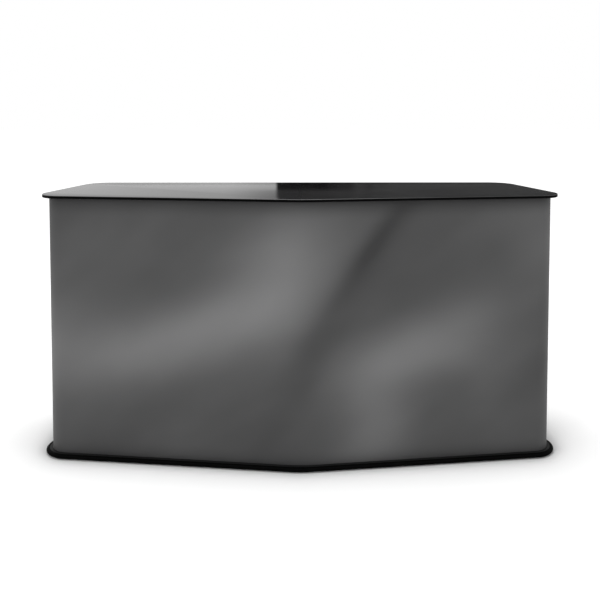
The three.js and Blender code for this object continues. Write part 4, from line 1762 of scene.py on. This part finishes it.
@dataclass
class StageCard:
    """A card behind the bar that only gloss shows: pale on the left, dark on the right.

    Attributes:
        low: Its lower left corner, across and up.
        high: Its upper right corner.
        back: How far back it stands.
        pale: Its tone on the left.
        dark: Its tone on the right.
        flag: Its tone in the middle of the dark side.
        edge: Where the pale side starts and is whole, across.
        fade: Where the pale side starts to dim towards the edge and is dimmest.
        flag_reach: Where the dark side starts to darken towards the middle and is darkest.
        near: Heights between which the lower part goes over into the upper one.
        flag_ease: How much the flag gives way in the upper part.
        dim: How much the pale side dims.
        dim_above: How much more it dims in the upper part.
        ripple: How far soft folds shift the flag.
    """

    low: Point = (-3.4, 0.9)
    high: Point = (3.4, 2.6)
    back: float = 2.5
    pale: Colour = (0.66, 0.66, 0.66)
    dark: Colour = (0.062, 0.062, 0.062)
    flag: Colour = (0.004, 0.004, 0.004)
    edge: Point = (-0.150, -0.180)
    fade: Point = (-0.62, -0.10)
    flag_reach: Point = (0.75, 0.20)
    near: Point = (1.31, 1.46)
    flag_ease: float = 0.55
    dim: float = 0.20
    dim_above: float = 0.26
    ripple: float = 0.5

    def build(self) -> None:
        """Puts up the card."""
        body = Body()
        body.cap(body.ring([(x, self.back, z) for x, z in rectangle(self.low, self.high)]))
        card = body.piece("stage_card")
        shader = Shader("stage_felt")
        shader.feed("Base Color", BLACK)
        shader.feed("Roughness", 1.0)
        shader.feed("Specular IOR Level", 0.0)
        shader.feed("Emission Color", self.glow(shader))
        shader.feed("Emission Strength", 1.0)
        card.data.materials.append(shader.material)
        card.visible_camera = False
        card.visible_diffuse = False
        card.visible_shadow = False
        card.visible_transmission = False

    def glow(self, shader: Shader) -> Sock:
        """Shades the card.

        Args:
            shader: The card's material.

        Returns:
            Its colour.
        """
        across, up = shader.axes(shader.place(), "XZ")
        near = shader.rise(up, *self.near)
        folds = shader.noise(shader.place(scale=(7.0, 0.0, 0.4)), scale=1.0)
        flagged = shader.rise(across + (folds - 0.5) * self.ripple, *self.flag_reach)
        flagged = flagged * (1.0 - near * self.flag_ease)
        bright = 1.0 - shader.rise(across, *self.fade) * (near * self.dim_above + self.dim)
        dark = shader.mix(flagged, self.dark, self.flag)
        pale = shader.mix(bright, BLACK, self.pale)
        return shader.mix(shader.rise(across, *self.edge), dark, pale)


@dataclass
class Studio:
    """Surround, floor, light and camera.

    Attributes:
        lens: Focal length, in millimetres.
        sensor: Width of the sensor, in millimetres.
        eye: Where the camera stands.
        pitch: How far it looks down.
        heading: How far it turns from straight ahead.
        shift: Its upright shift, in frame widths.
        ambient: How brightly the surround lights the bar.
        lamps: The lamps.
    """

    lens: float = 45.69
    sensor: float = 36.0
    eye: Spot = (-0.0218, -3.2954, 1.4715)
    pitch: float = math.radians(2.966)
    heading: float = math.radians(-0.364)
    shift: float = -0.26
    ambient: Colour = (0.62, 0.62, 0.62)
    lamps: Sequence[Lamp] = (
        Lamp("overhead", (0.0, 0.1, 4.2), (0.0, 0.0, 0.5), size=3.2, power=240.0, glints=True),
        Lamp("front_left", (-2.6, -4.2, 2.6), (0.0, 0.0, 0.6), size=2.4, power=110.0, glints=False),
    )

    def build(self) -> None:
        """Builds the whole studio."""
        bpy.context.scene.view_settings.view_transform = "Standard"
        self.world()
        Floor().build()
        for lamp in self.lamps:
            lamp.build()
        StageCard().build()
        self.camera()

    def world(self) -> None:
        """Makes a soft even surround that looks white in itself and in gloss."""
        world = bpy.data.worlds.new("studio")
        bpy.context.scene.world = world
        world.use_nodes = True
        tree = Tree(world.node_tree)
        seen = tree.node("ShaderNodeLightPath", output="Is Camera Ray")
        for ray in ("Is Glossy Ray", "Is Transmission Ray"):
            seen = seen.largest(tree.node("ShaderNodeLightPath", output=ray))
        sky = tree.node("ShaderNodeBackground", {}, {"Color": tree.mix(seen, self.ambient, WHITE)})
        tree.node("ShaderNodeOutputWorld", {}, {"Surface": sky})

    def camera(self) -> None:
        """Puts a camera at the photograph's place."""
        data = bpy.data.cameras.new("camera")
        data.sensor_width, data.lens, data.shift_y = self.sensor, self.lens, self.shift
        camera = bpy.data.objects.new("camera", data)
        camera.location = self.eye
        camera.rotation_euler = (QUARTER - self.pitch, 0.0, self.heading)
        bpy.context.scene.collection.objects.link(camera)
        bpy.context.scene.camera = camera


def main() -> None:
    """Builds the studio and the bar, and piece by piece."""
    logging.basicConfig(level=logging.INFO, format="%(name)s: %(message)s")
    Studio().build()
    CarriedNodes().dress()
    for side in Side:
        Wrap(side).build()
        TopLeaf(side).build()
        BaseBumper(side).build()
        FrontFrame(side).build()
        EndFrame(side).build()
    SeamSeal("top_seam_seal", "right_top", low=1.0885, high=1.0985).build()
    latch_pocket = (0.1816, 0.2783)
    SeamSeal("base_seam_seal", "base", low=0.004, high=0.0198, dip=latch_pocket, dip_high=0.0117).build()
    SpineFixings().build()


if __name__ == "__main__":
    main()
